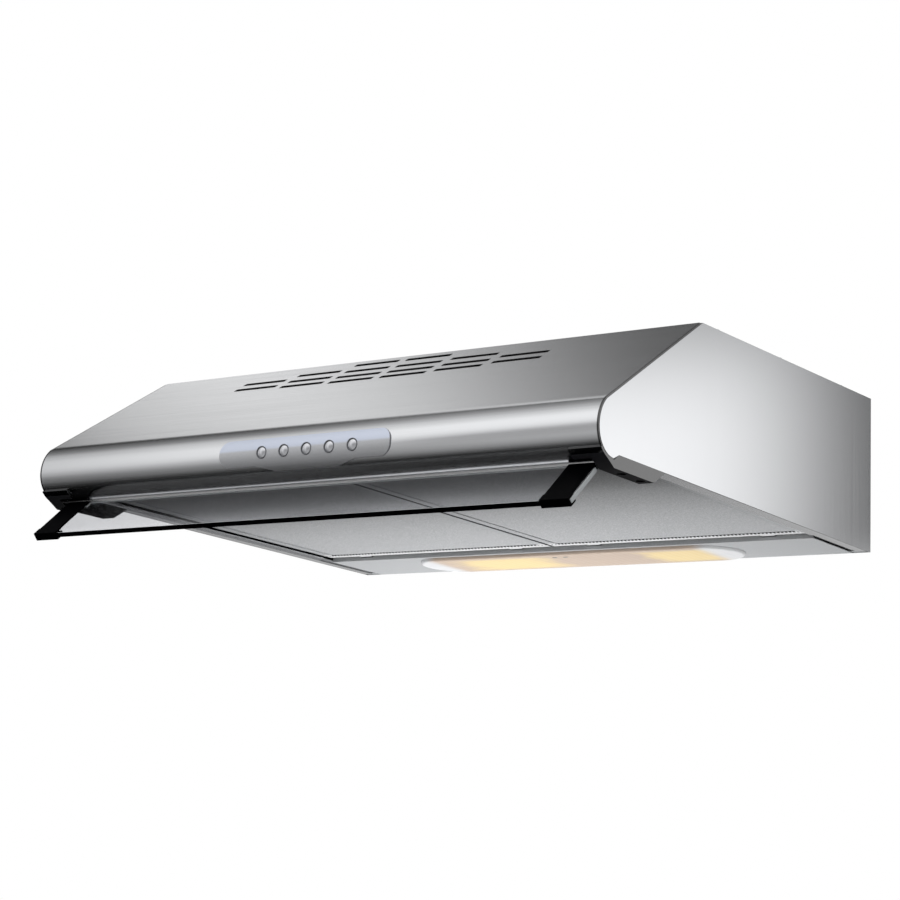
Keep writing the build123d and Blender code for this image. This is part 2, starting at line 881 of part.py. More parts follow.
def lamp_lens():
    dish = lens_shape(0, -lens_drop, 0)
    bottom = dish.faces().sort_by(Axis.Z)[0]
    dish = fillet(bottom.edges(), lens_drop - 0.8)
    dish -= lens_shape(lens_lap + lens_wall, -lens_drop + lens_wall, 1)
    rim = lens_shape(lens_lap + 0.3, -0.5, lens_rim)
    rim -= lens_shape(lens_lap + 0.3 + lens_wall, -1, lens_rim + 1)
    lens = dish + rim
    for x in clip_x:
        lens -= box(
            x - clip_width / 2 - 0.2, x + clip_width / 2 + 0.2,
            -clip_depth - clip_thickness - 0.2, -clip_depth + 0.2, -lens_drop - 1, 0,
        )
        lens -= box(
            x - clip_width / 2 - 0.5, x + clip_width / 2 + 0.5,
            -lens_middle_depth - lens_height / 2, -clip_depth, 0.0, lens_rim + 1,
        )
    return under * lens


def lens_clips():
    clips = []
    for x in clip_x:
        x0 = x - clip_width / 2
        x1 = x + clip_width / 2
        leg = box(
            x0, x1, -clip_depth - clip_thickness, -clip_depth,
            -lens_drop - 0.4, sheet + 1.2,
        )
        hook = box(
            x0, x1, -lens_middle_depth - lens_height / 2 - 1.0, -clip_depth,
            sheet, sheet + 1.2,
        )
        clips.append(under * (leg + hook))
    return Compound(children=clips)


def lamp_reflector():
    front = -reflector_front_depth
    rear = -reflector_rear_depth
    side_x = reflector_length / 2
    tray = box(-side_x, side_x, front, rear, sheet, sheet + reflector_height)
    tray -= box(
        -side_x + sheet, side_x - sheet, front + sheet, rear - sheet,
        0, reflector_height,
    )
    return under * tray


def lamp_holder():
    """The right one, hung from the reflector's roof."""
    socket = rod_x(
        holder_end_x - holder_length, holder_end_x, lens_y, lamp_axis_height, holder_r
    )
    socket -= rod_x(
        holder_end_x - holder_length - 1, holder_end_x - holder_length + 12.0, lens_y,
        lamp_axis_height, bulb_neck_r + 0.1,
    )
    stalk = box(
        holder_end_x - 14, holder_end_x - 2, lens_y - 8, lens_y + 8,
        lamp_axis_height + holder_r - 3, reflector_height,
    )
    return under * (socket + stalk)


def bulb():
    """The right one: screw neck in the holder, globe towards the middle."""
    neck_end = holder_end_x - holder_length + 11.0
    globe_x = neck_end - bulb_length + bulb_r
    shoulder_x = globe_x + bulb_r * math.cos(math.radians(40))
    shoulder_r = bulb_r * math.sin(math.radians(40))
    profile = make_face(
        [
            ThreePointArc(
                (globe_x - bulb_r, 0), (globe_x, bulb_r), (shoulder_x, shoulder_r)
            ),
            Polyline(
                (shoulder_x, shoulder_r), (shoulder_x + 8.0, bulb_neck_r),
                (neck_end, bulb_neck_r), (neck_end, 0), (globe_x - bulb_r, 0),
            ),
        ]
    )
    return under * Pos(0, lens_y, lamp_axis_height) * revolve(profile, Axis.X)


# Fan unit
fan_x = fan_spacing / 2
fan_y = at(fan_depth)
lid_bottom = -sheet - lid_thickness
housing_bottom = -housing_bottom_drop
plenum_rear_y = at(fan_depth - plenum_rear_reach)
plenum_front_y = fan_y - scroll_r
housing_split_x = plenum_half_x + housing_wall


def housing_shape(grow, z0, z1):
    """Two scrolls that blow towards the plenum between them, seen from above."""
    front = plenum_front_y - grow
    shape = box(
        -plenum_half_x - grow, plenum_half_x + grow, front, plenum_rear_y + grow, z0, z1
    )
    for side in (-1, 1):
        shape += rod_z(side * fan_x, fan_y, z0, z1, scroll_r + grow)
        shape += box(0, side * fan_x, front, front + channel_width + 2 * grow, z0, z1)
    return shape


def housing_shell():
    shell = housing_shape(housing_wall, housing_bottom, lid_bottom)
    shell -= housing_shape(0, housing_bottom + housing_wall, lid_bottom + 1)
    for side in (-1, 1):
        shell -= rod_z(side * fan_x, fan_y, housing_bottom - 1, housing_bottom + 5, inlet_r)
    shell -= box(
        -window_width / 2, window_width / 2, plenum_front_y - 5, plenum_front_y + 1,
        -window_bottom_drop, -window_top_drop,
    )
    for side in (-1, 1):
        inner = side * (window_width / 2 + flap_lap + 1.0)
        ear = box(
            inner, inner + side * flap_ear, plenum_front_y - housing_wall,
            rod_axis_y - flap_rod_r - 2.0, rod_axis_z - 5, rod_axis_z + 5,
        )
        shell += ear
    return shell - rod_x(-half, half, rod_axis_y, rod_axis_z, flap_rod_r + running)


def plenum_box():
    """The middle of the housing, below the duct."""
    return housing_shell() & box(
        -housing_split_x, housing_split_x, -hood_depth, hood_depth, -rear_height, 0
    )


def scroll_housing():
    """The right one: the scroll round a fan and its channel to the plenum box."""
    return housing_shell() & box(
        housing_split_x, half, -hood_depth, hood_depth, -rear_height, 0
    )


def fan_lid():
    lid = housing_shape(housing_wall + lid_overhang, lid_bottom, -sheet)
    lid -= rod_z(0, duct_y, lid_bottom - 1, 0, duct_bore_r)
    for side in (-1, 1):
        for depth in fan_screw_depths:
            lid += rod_z(side * fan_screw_x, at(depth), lid_bottom, -sheet, screw_head_r * 2)
            web = side * (fan_screw_x - lid_web)
            lid += box(
                web, side * fan_screw_x, at(depth) - 7, at(depth) + 7, lid_bottom, -sheet
            )
    for side in (-1, 1):
        for depth in fan_screw_depths:
            lid -= rod_z(
                side * fan_screw_x, at(depth), lid_bottom - 1, 0, screw_hole_r
            )
    for x, y in collar_screw_places():
        lid -= rod_z(x, y, lid_bottom - 1, 0, screw_hole_r)
    return lid


def motor():
    """The right one, hung from the lid."""
    can = rod_z(fan_x, fan_y, lid_bottom, -motor_drop, motor_r)
    can = fillet(can.edges().filter_by(GeomType.CIRCLE).sort_by(Axis.Z)[0], 4.0)
    return can - rod_z(fan_x, fan_y, -motor_drop - 1, lid_bottom - 8, shaft_r + running)


def shaft():
    return rod_z(fan_x, fan_y, -shaft_bottom_drop, lid_bottom - 8.5, shaft_r)


def impeller():
    """The right one: backplate on the hub, curved-back blades and a lower ring."""
    wheel = rod_z(
        0, 0, -backplate_drop - backplate_thickness, -backplate_drop, wheel_r
    )
    wheel += rod_z(0, 0, -shaft_bottom_drop, -backplate_drop, hub_r)
    ring = rod_z(0, 0, -wheel_bottom_drop, -wheel_bottom_drop + wheel_ring, wheel_r)
    ring -= rod_z(0, 0, -wheel_bottom_drop - 1, 0, wheel_bore_r)
    middle_r = (wheel_r + wheel_bore_r) / 2
    chord = (wheel_r - wheel_bore_r) * 0.95
    height = wheel_bottom_drop - backplate_drop - 1.0
    blade = Pos(middle_r, 0, -(wheel_bottom_drop + backplate_drop) / 2) * Rot(
        0, 0, blade_angle
    ) * Box(chord, blade_thickness, height)
    parts = [Rot(0, 0, 360 / blades * n) * blade for n in range(blades)]
    wheel = wheel.fuse(ring, *parts)
    wheel -= rod_z(0, 0, -shaft_bottom_drop - 1, 0, shaft_r + shaft_fit)
    return Pos(fan_x, fan_y, 0) * wheel


def inlet_guard():
    """The right one: rings on two crossed bars, under the inlet."""
    top = housing_bottom
    bottom = top - guard_height
    guard = rod_z(0, 0, bottom, top, inlet_r + guard_rim)
    guard -= rod_z(0, 0, bottom - 1, top + 1, inlet_r + guard_rim - guard_ring)
    for radius in guard_radii:
        ring = rod_z(0, 0, bottom, top, radius)
        guard += ring - rod_z(0, 0, bottom - 1, top + 1, radius - guard_ring)
    reach = inlet_r + guard_rim - guard_ring / 2
    for turn in (0, 90):
        bar = box(-reach, reach, -guard_ring / 2, guard_ring / 2, bottom, top)
        guard += Rot(0, 0, turn) * bar
    return Pos(fan_x, fan_y, 0) * guard


# Recirculation flap in front of the plenum's window
rod_axis_y = plenum_front_y - housing_wall - flap_plate - 1.0
rod_axis_z = -window_bottom_drop - flap_lap - flap_rod_r


def recirculation_flap():
    back = plenum_front_y - housing_wall - 0.3
    side_x = window_width / 2 + flap_lap
    flap = box(
        -side_x, side_x, back - flap_plate, back, rod_axis_z, -window_top_drop + flap_lap
    )
    end = side_x + flap_ear + 3.0
    flap += rod_x(-end, end, rod_axis_y, rod_axis_z, flap_rod_r)
    flap += box(
        end - 0.5, end + 3.0, rod_axis_y - flap_lever, rod_axis_y + 2,
        rod_axis_z - 2, rod_axis_z + 2,
    )
    return flap


# Duct collar and its two backdraft flaps
damper_r = duct_bore_r - damper_gap


def duct_collar():
    collar = rod_z(0, duct_y, 0, collar_flange, collar_flange_r)
    collar += rod_z(0, duct_y, 0, collar_height, collar_r)
    collar -= rod_z(0, duct_y, -1, collar_height + 1, duct_bore_r)
    stop = flap_pin_height - damper_thickness / 2 - 0.2
    lip = rod_z(0, duct_y, stop - ledge_thickness, stop, duct_bore_r + 0.5)
    lip -= rod_z(0, duct_y, 0, collar_height, duct_bore_r - ledge)
    collar += lip
    collar -= rod_x(-duct_bore_r - 1, duct_bore_r + 1, duct_y, flap_pin_height, flap_pin_r)
    for x, y in collar_screw_places():
        collar -= rod_z(x, y, -1, collar_flange + 1, screw_hole_r)
    return collar


def flap_pin():
    reach = duct_bore_r + 0.95
    return rod_x(-reach, reach, duct_y, flap_pin_height, flap_pin_r)


def backdraft_flap(side):
    """A half disc with two knuckles on the pin; side is -1 in front, 1 behind."""
    low = flap_pin_height - damper_thickness / 2
    high = flap_pin_height + damper_thickness / 2
    disc = rod_z(0, duct_y, low, high, damper_r)
    edge = knuckle_r + knuckle_gap
    disc &= box(
        -damper_r, damper_r, duct_y + side * edge, duct_y + side * (damper_r + 1),
        low, high,
    )
    for x in knuckle_x:
        x0 = -side * x - knuckle_length / 2
        x1 = -side * x + knuckle_length / 2
        disc += box(x0, x1, duct_y, duct_y + side * (edge + 2.0), low, high)
        disc += rod_x(x0, x1, duct_y, flap_pin_height, knuckle_r)
    return disc - rod_x(
        -damper_r, damper_r, duct_y, flap_pin_height, flap_pin_r + running
    )


# Electrics
gland_y = at(gland_depth)


def cable_gland():
    gland = rod_z(gland_x, gland_y, -gland_tail, gland_height, gland_r)
    gland += rod_z(gland_x, gland_y, 0, gland_flange, gland_flange_r)
    return gland - rod_z(gland_x, gland_y, -gland_tail - 1, gland_height + 1, gland_bore_r)


def terminal_box():
    x0 = gland_x - terminal_length / 2
    x1 = gland_x + terminal_length / 2
    y0 = gland_y - terminal_width / 2 + 3.0
    y1 = y0 + terminal_width
    low = -sheet - terminal_height
    shell = box(x0, x1, y0, y1, low, -sheet)
    shell -= box(
        x0 + terminal_wall, x1 - terminal_wall, y0 + terminal_wall, y1 - terminal_wall,
        low + terminal_wall, -sheet - terminal_wall,
    )
    return shell - rod_z(gland_x, gland_y, -sheet - terminal_wall - 1, 0, gland_r + running)


def capacitor():
    body = box(
        capacitor_x - capacitor_length / 2, capacitor_x + capacitor_length / 2,
        gland_y - capacitor_width / 2, gland_y + capacitor_width / 2,
        -sheet - capacitor_height, -sheet,
    )
    return fillet(body.edges().filter_by(Axis.Z), 3.0)


# Screws
def screw(x, y, head_z, down=True):
    """A pan head with its shank below it, or above it where it is driven upwards."""
    way = -1 if down else 1
    head = rod_z(x, y, head_z, head_z - way * screw_head, screw_head_r)
    shank = rod_z(x, y, head_z, head_z + way * screw_length, screw_r)
    return head + shank


def screws_casing():
    return Compound(
        children=[
            screw(side * side_screw_x, at(depth), 0)
            for side in (-1, 1)
            for depth in side_screw_depths
        ]
    )


def screws_fascia():
    return Compound(children=[screw(x, fascia_screw_y, 0) for x in fascia_screw_x])


def screws_fan():
    return Compound(
        children=[
            screw(side * fan_screw_x, at(depth), 0)
            for side in (-1, 1)
            for depth in fan_screw_depths
        ]
    )


def screws_collar():
    return Compound(
        children=[screw(x, y, collar_flange) for x, y in collar_screw_places()]
    )


def screws_hinge_blocks():
    screws = []
    for side in (-1, 1):
        for depth in block_screw_depths:
            seat = under_z(at(depth)) - 4.0
            screws.append(screw(side * block_screw_x, at(depth), seat, down=False))
    return Compound(children=screws)


# Write every piece
save("casing_top", casing_top())
save("casing_back", casing_back())
save("front_fascia", front_fascia())
save("control_bezel", control_bezel())
save("switch_block", switch_block())
for name, x in zip(button_names, button_x):
    save(name, push_button(x))
save("visor_glass", visor_glass())
save("visor_edge_trim", visor_edge_trim())
save("visor_pins", visor_pins())
save("lamp_panel", lamp_panel())
save("lamp_lens", lamp_lens())
save("lens_clips", lens_clips())
save("lamp_reflector", lamp_reflector())
save("plenum_box", plenum_box())
save("fan_lid", fan_lid())
save("recirculation_flap", recirculation_flap())
save("duct_collar", duct_collar())
save("flap_pin", flap_pin())
save("backdraft_flap_front", backdraft_flap(-1))
save("backdraft_flap_rear", backdraft_flap(1))
save("cable_gland", cable_gland())
save("terminal_box", terminal_box())
save("capacitor", capacitor())
save("screws_casing", screws_casing())
save("screws_fascia", screws_fascia())
save("screws_fan", screws_fan())
save("screws_collar", screws_collar())
save("screws_hinge_blocks", screws_hinge_blocks())

pairs = {
    "side_panel": side_panel(),
    "edge_gasket": edge_gasket(),
    "visor_arm": visor_arm(),
    "hinge_block": hinge_block(),
    "filter_frame": filter_frame(),
    "filter_mesh": filter_mesh(),
    "filter_latch": filter_latch(),
    "lamp_holder": lamp_holder(),
    "bulb": bulb(),
    "scroll_housing": scroll_housing(),
    "motor": motor(),
    "shaft": shaft(),
    "impeller": impeller(),
    "inlet_guard": inlet_guard(),
}
for name, shape in pairs.items():
    save(name + "_right", shape)
    save(name + "_left", flip(shape))
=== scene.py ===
# %% [markdown]
# A visor range hood
#
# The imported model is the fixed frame: every solid is already in its place, in
# metres, with X to the right, Y into the wall and Z up. This lesson gives each
# solid its real surface and models the fine pieces that a render needs.

import bpy
import json
import math
from mathutils import Matrix, Vector


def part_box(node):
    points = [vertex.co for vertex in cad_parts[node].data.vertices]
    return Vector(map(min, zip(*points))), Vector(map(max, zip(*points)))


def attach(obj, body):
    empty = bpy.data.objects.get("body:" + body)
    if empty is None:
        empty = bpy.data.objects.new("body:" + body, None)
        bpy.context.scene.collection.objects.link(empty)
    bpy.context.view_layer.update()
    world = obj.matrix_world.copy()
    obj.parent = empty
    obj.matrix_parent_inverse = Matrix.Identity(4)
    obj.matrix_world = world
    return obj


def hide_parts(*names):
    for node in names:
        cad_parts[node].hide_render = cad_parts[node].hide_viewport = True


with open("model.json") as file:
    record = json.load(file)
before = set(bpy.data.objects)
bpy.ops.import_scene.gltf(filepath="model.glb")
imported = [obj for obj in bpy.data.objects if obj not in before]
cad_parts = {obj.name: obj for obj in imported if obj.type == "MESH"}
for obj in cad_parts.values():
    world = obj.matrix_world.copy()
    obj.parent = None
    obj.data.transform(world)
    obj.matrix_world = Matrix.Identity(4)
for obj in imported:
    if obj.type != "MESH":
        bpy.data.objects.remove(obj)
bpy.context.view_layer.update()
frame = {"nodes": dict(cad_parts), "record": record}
nodes = frame["nodes"]
scene = bpy.context.scene
for name in ("Cube", "Light", "Camera"):
    if name in bpy.data.objects:
        bpy.data.objects.remove(bpy.data.objects[name])

# %% [markdown]
# Small helpers
#
# Colours are written as the sRGB hex value that a designer would give, so one
# function turns them to the linear values that the shaders work in. Another
# adds a node with its settings and links, which keeps each material short.


# %% Colours and nodes
def hex_colour(code):
    values = [int(code[i : i + 2], 16) / 255 for i in (1, 3, 5)]
    return [v / 12.92 if v <= 0.04045 else ((v + 0.055) / 1.055) ** 2.4 for v in values] + [1]


def add(tree, kind, inputs=None, **settings):
    """A node with its settings; an input is a value or another node's socket."""
    node = tree.nodes.new(kind)
    for key, value in settings.items():
        setattr(node, key, value)
    for key, value in (inputs or {}).items():
        if isinstance(value, bpy.types.NodeSocket):
            tree.links.new(value, node.inputs[key])
        else:
            node.inputs[key].default_value = value
    return node


def new_material(name, **values):
    """A Principled material; constant values stay on the shader's own sockets."""
    material = bpy.data.materials.new(name)
    material.use_nodes = True
    shader = material.node_tree.nodes["Principled BSDF"]
    for key, value in values.items():
        shader.inputs[key.replace("_", " ")].default_value = value
    return material, material.node_tree, shader


print("half grey is", round(hex_colour("#808080")[0], 3), "in linear light")

# %% [markdown]
# Camera
#
# The photograph was taken from the right, a little below the hood. The angles,
# place and lens were worked out from the corners of the body.

# %% Place the camera
camera_azimuth, camera_elevation, camera_roll = 34.956, -10.116, 2.185
camera_place = Vector((1.135367, -1.733018, -0.429850))
camera_data = bpy.data.cameras.new("photo_camera")
camera_data.sensor_width = 36.0
camera_data.lens = 85.962
camera = bpy.data.objects.new("photo_camera", camera_data)
scene.collection.objects.link(camera)
camera.matrix_world = (
    Matrix.Translation(camera_place)
    @ Matrix.Rotation(math.radians(camera_azimuth), 4, "Z")
    @ Matrix.Rotation(math.radians(90 - camera_elevation), 4, "X")
    @ Matrix.Rotation(math.radians(camera_roll), 4, "Z")
)
scene.camera = camera
print("camera", tuple(round(v, 3) for v in camera_place))

# %% [markdown]
# Floor
#
# The hood hangs in a white room, above a pale floor where a kitchen's is. The
# camera sees only the floor near the hood, and not at all from below, so the
# picture keeps a plain background. The floor still gives its light.

# %% Lay the floor
floor_drop, floor_reach = 1.55, 4.0
fade_start, fade_end = 1.9, 3.9
scene.view_settings.view_transform = "Standard"


def stage_sheet(name, corners, material):
    """A flat or folded sheet; its corners come in pairs, one pair at each fold."""
    mesh = bpy.data.meshes.new(name)
    folds = len(corners) // 2
    quads = [(2 * i, 2 * i + 1, 2 * i + 3, 2 * i + 2) for i in range(folds - 1)]
    mesh.from_pydata([Vector(c) for c in corners], [], quads)
    mesh.materials.append(material)
    sheet = bpy.data.objects.new(name, mesh)
    scene.collection.objects.link(sheet)
    return sheet


# Seamless studio paper: nearly white and quite matt.
pale_floor, tree, shader = new_material(
    "floor_paper", Base_Color=hex_colour("#FAFAFA"), Roughness=0.9, Specular_IOR_Level=0.1
)
place = add(tree, "ShaderNodeTexCoord")
away = add(tree, "ShaderNodeVectorMath", {0: place.outputs["Object"]}, operation="LENGTH")
far = add(
    tree, "ShaderNodeMapRange",
    {"Value": away.outputs["Value"], "From Min": fade_start, "From Max": fade_end},
    interpolation_type="SMOOTHSTEP",
)
below = add(tree, "ShaderNodeNewGeometry").outputs["Backfacing"]
hidden = add(tree, "ShaderNodeMath", {0: below, 1: far.outputs["Result"]}, operation="MAXIMUM")
by_camera = add(tree, "ShaderNodeLightPath").outputs["Is Camera Ray"]
hidden = add(tree, "ShaderNodeMath", {0: hidden.outputs[0], 1: by_camera}, operation="MULTIPLY")
clear = add(tree, "ShaderNodeBsdfTransparent")
either = add(
    tree, "ShaderNodeMixShader",
    {0: hidden.outputs[0], 1: shader.outputs[0], 2: clear.outputs[0]},
)
tree.links.new(either.outputs[0], tree.nodes["Material Output"].inputs["Surface"])
stage_sheet(
    "studio_floor",
    [(-floor_reach, -floor_reach, -floor_drop), (floor_reach, -floor_reach, -floor_drop),
     (-floor_reach, floor_reach, -floor_drop), (floor_reach, floor_reach, -floor_drop)],
    pale_floor,
)
print("floor", floor_drop, "m below the hood's top")

# %% [markdown]
# Room and lamps
#
# The camera, mirrors and glass see a plain white room, which lights the hood at
# half that strength. Three soft lamps, which aren't seen themselves, model its
# form: a large one at the front on either side and a small one below. Without
# them the room alone would light every side alike, and the form would go flat.

# %% Light the room
room_look, room_light = 1.0, 0.5
world = bpy.data.worlds.new("white_room")
world.use_nodes = True
scene.world = world
tree = world.node_tree
room = tree.nodes["Background"]
room.inputs["Color"].default_value = (1, 1, 1, 1)
path = add(tree, "ShaderNodeLightPath")
seen = add(
    tree, "ShaderNodeMath",
    {0: path.outputs["Is Camera Ray"], 1: path.outputs["Is Glossy Ray"]}, operation="ADD",
)
seen = add(
    tree, "ShaderNodeMath",
    {0: seen.outputs[0], 1: path.outputs["Is Transmission Ray"]}, operation="ADD",
    use_clamp=True,
)
strength = add(
    tree, "ShaderNodeMapRange",
    {"Value": seen.outputs[0], "To Min": room_light, "To Max": room_look},
)
tree.links.new(strength.outputs["Result"], room.inputs["Strength"])


def unseen(thing):
    """Hides a thing from the camera, from mirrors and from what looks through glass."""
    for ray in ("camera", "glossy", "transmission"):
        setattr(thing, "visible_" + ray, False)


def soft_lamp(name, place, aim, size, power):
    """A square lamp, with its side in metres and its power in watts."""
    lamp = bpy.data.lights.new(name, "AREA")
    lamp.size = size
    lamp.energy = power
    thing = bpy.data.objects.new(name, lamp)
    scene.collection.objects.link(thing)
    way = Vector(aim) - Vector(place)
    thing.matrix_world = (
        Matrix.Translation(Vector(place)) @ way.to_track_quat("-Z", "Y").to_matrix().to_4x4()
    )
    unseen(thing)


hood_middle = (0, -0.1, -0.05)
soft_lamp("key_lamp", (-1.8, -2.2, 0.9), hood_middle, 1.8, 30)
soft_lamp("fill_lamp", (2.2, -1.4, 0.4), hood_middle, 1.8, 22)
soft_lamp("low_lamp", (-0.12, 0.3, -0.55), (-0.08, 0.05, -0.15), 0.5, 3.0)
print("lamps", len(bpy.data.lights))

# %% [markdown]
# Graduated cards
#
# Steel shows what stands round it. In a plain white room it would look like
# paper, so the room also has graduated cards, as a photographer hangs them:
# light panels that fade to dark. Only reflections see them.


# %% Make a card
def axes(tree):
    """X, Y and Z on the piece, in metres."""
    place = add(tree, "ShaderNodeTexCoord")
    return add(tree, "ShaderNodeSeparateXYZ", {"Vector": place.outputs["Object"]}).outputs


def card_light(tree, value, stops, brightest):
    """Light that follows a value; stops are (value, light) pairs."""
    low, high = stops[0][0], stops[-1][0]
    part = add(tree, "ShaderNodeMapRange", {"Value": value, "From Min": low, "From Max": high})
    fade = add(tree, "ShaderNodeValToRGB", {"Fac": part.outputs["Result"]})
    elements = fade.color_ramp.elements
    for index, (place, level) in enumerate(stops):
        where = (place - low) / (high - low)
        # A new ramp has two elements already.
        element = elements[index] if index < 2 else elements.new(where)
        element.position = where
        element.color = [level / brightest] * 3 + [1]
    return fade.outputs["Color"]


def card_material(name, brightest):
    """A card that only a reflection shows; returns its tree and its glow."""
    material = bpy.data.materials.new(name)
    material.use_nodes = True
    tree = material.node_tree
    tree.nodes.clear()
    glow = add(tree, "ShaderNodeEmission", {"Strength": brightest})
    bounces = add(tree, "ShaderNodeLightPath").outputs["Glossy Depth"]
    mirrored = add(tree, "ShaderNodeMath", {0: bounces, 1: 0.5}, operation="GREATER_THAN")
    clear = add(tree, "ShaderNodeBsdfTransparent")
    shown = add(
        tree, "ShaderNodeMixShader",
        {0: mirrored.outputs[0], 1: clear.outputs[0], 2: glow.outputs[0]},
    )
    add(tree, "ShaderNodeOutputMaterial", {"Surface": shown.outputs[0]})
    return material, tree, glow


def hang(name, corners, material):
    """Hangs a card that lights nothing and casts no shadow."""
    card = stage_sheet(name, corners, material)
    card.visible_camera = False
    card.visible_shadow = False
    card.visible_diffuse = False


def upright(left, right, low, high):
    """The corners of a card that stands across the back of the room."""
    return [(x, card_y, z) for x in (left, right) for z in (low, high)]


card_y = 2.5
card_left, card_split, card_end = -14, 1.1, 4.5
behind_low, behind_high = 0.9, 12
right_low, right_high = 0.2, 2.0
grey_low = -0.88
print("cards stand", card_y, "m behind the hood's middle")

# %% [markdown]
# Cards behind the hood
#
# The large card behind is what the sloping face mirrors, and the card at the
# right is what the side panel mirrors. Each is bright in one place and falls
# off to its sides. Below them a plain grey card serves the rails and the lip.

# %% Hang the large card
behind_brightest, behind_dimmest = 1.2, 0.12
behind_across = [
    (-5.2, 0.16), (-4.65, 0.25), (-4.4, 0.7), (-4.15, 0.92), (-3.5, 1.12), (-3.15, 1.0),
    (-2.9, 0.83), (-2.5, 0.46), (-2.2, 0.26), (-1.9, 0.13), (0.6, 0.1),
]
material, tree, glow = card_material("card_behind", behind_brightest)
sides = axes(tree)
across = card_light(tree, sides["X"], behind_across, behind_brightest)
tree.links.new(across, glow.inputs["Color"])
# Towards its top left the card fades, for the bend at the foot of the slope.
up_start, up_full = 3.25, 4.2
left_start, left_full = -3.0, -4.6
up = add(
    tree, "ShaderNodeMapRange", {"Value": sides["Z"], "From Min": up_start, "From Max": up_full}
)
left = add(
    tree, "ShaderNodeMapRange",
    {"Value": sides["X"], "From Min": left_start, "From Max": left_full},
)
corner = add(tree, "ShaderNodeMath", {0: up.outputs[0], 1: left.outputs[0]}, operation="MULTIPLY")
strength = add(
    tree, "ShaderNodeMapRange",
    {"Value": corner.outputs[0], "To Min": behind_brightest, "To Max": behind_dimmest},
)
tree.links.new(strength.outputs["Result"], glow.inputs["Strength"])
hang("graduated_card_behind", upright(card_left, card_split, behind_low, behind_high), material)
print("card behind", len(behind_across), "steps across")

# %% Hang the right card and the grey card
right_brightest = 1.6
right_across = [
    (1.1, 0.02), (1.3, 0.05), (1.36, 0.18), (1.43, 0.45), (1.5, 0.8), (1.6, 1.26),
    (1.7, 1.5), (1.85, 1.56), (2.0, 1.6), (2.3, 1.6),
]
right_upwards = [(0.3, 1.0), (0.5, 0.97), (0.6, 0.86), (0.68, 0.64), (0.76, 0.42), (0.9, 0.3)]
material, tree, glow = card_material("card_right", right_brightest)
sides = axes(tree)
across = card_light(tree, sides["X"], right_across, right_brightest)
tree.links.new(across, glow.inputs["Color"])
strength = add(
    tree, "ShaderNodeMapRange",
    {"Value": card_light(tree, sides["Z"], right_upwards, 1.0), "To Max": right_brightest},
)
tree.links.new(strength.outputs["Result"], glow.inputs["Strength"])
hang("graduated_card_right", upright(card_split, card_end, right_low, right_high), material)

# The grey card's top steps down at the split, to the foot of the right card.
grey_brightness = 0.55
grey_card = card_material("card_low", grey_brightness)[0]
hang(
    "grey_card_low",
    upright(card_left, card_split, grey_low, behind_low)
    + upright(card_split, card_end, grey_low, right_low),
    grey_card,
)
print("card right", len(right_across), "steps across,", len(right_upwards), "upwards")

# %% [markdown]
# Dark things low down
#
# The hood's underside is dark towards the front. A nearly black card lies on the
# floor behind the hood and turns up at its end, and steel that faces down
# mirrors it. A small black flag hangs under the front, where it keeps light off
# the filters' front half. A lamp can't do that: it only adds light.

# %% Lay the dark card and hang the flag
foot_clearance, foot_front, foot_brightness = 0.02, 0.75, 0.05
foot_z = foot_clearance - floor_drop
foot_card = card_material("card_foot", foot_brightness)[0]
hang(
    "dark_card_foot",
    [(x, y, z) for y, z in ((foot_front, foot_z), (card_y, foot_z), (card_y, grey_low))
     for x in (card_left, card_end)],
    foot_card,
)

# Black velvet: it takes nearly all the light and has no shine.
flag_velvet = new_material(
    "flag_velvet", Base_Color=hex_colour("#050505"), Roughness=1.0, Specular_IOR_Level=0.0
)[0]
flag_z, flag_half_width, flag_front = -0.22, 0.6, -0.8
# It ends a little further forward on the right.
flag_back_left, flag_back_right = -0.1, -0.12
flag = stage_sheet(
    "black_flag",
    [(-flag_half_width, flag_front, flag_z), (flag_half_width, flag_front, flag_z),
     (-flag_half_width, flag_back_left, flag_z), (flag_half_width, flag_back_right, flag_z)],
    flag_velvet,
)
unseen(flag)
print("flag", 2 * flag_half_width, "m wide")

# %% [markdown]
# Card in front
#
# The rounded nose mirrors everything from the ceiling to the floor. Its card is
# a wide arc round the nose's line, graded by the angle, with one set of steps
# at its left end and another at its right.

# %% Bend the front card
arc_y, arc_z, arc_radius = -0.34, -0.116, 1.4
arc_low, arc_high, arc_step = -149, 119, 4
arc_left, arc_right = -3.5, 1.2
arc_brightest = 1.4
turns_left = [
    (-149, 1.3), (-141, 0.9), (-134, 0.0), (-76, 0.0), (-60, 0.02), (-46, 0.09),
    (-32, 0.27), (-16, 0.42), (0, 0.78), (14, 1.12), (28, 1.28), (50, 1.24), (62, 1.04),
    (74, 0.8), (84, 0.42), (96, 0.24), (118, 0.12),
]
turns_right = [
    (-149, 1.4), (-140, 1.4), (-130, 0.0), (-72, 0.0), (-56, 0.06), (-37, 0.4),
    (-18, 0.62), (2, 0.54), (11, 0.46), (17, 0.72), (26, 1.2), (38, 1.38), (54, 1.36),
    (64, 1.1), (75, 0.82), (86, 0.57), (98, 0.34), (118, 0.12),
]
material, tree, glow = card_material("card_front", arc_brightest)
sides = axes(tree)
forward = add(tree, "ShaderNodeMath", {0: arc_y, 1: sides["Y"]}, operation="SUBTRACT")
up = add(tree, "ShaderNodeMath", {0: sides["Z"], 1: arc_z}, operation="SUBTRACT")
turn = add(
    tree, "ShaderNodeMath", {0: up.outputs[0], 1: forward.outputs[0]}, operation="ARCTAN2"
).outputs[0]
end_light = [
    card_light(
        tree, turn, [(math.radians(angle), level) for angle, level in turns], arc_brightest
    )
    for turns in (turns_left, turns_right)
]
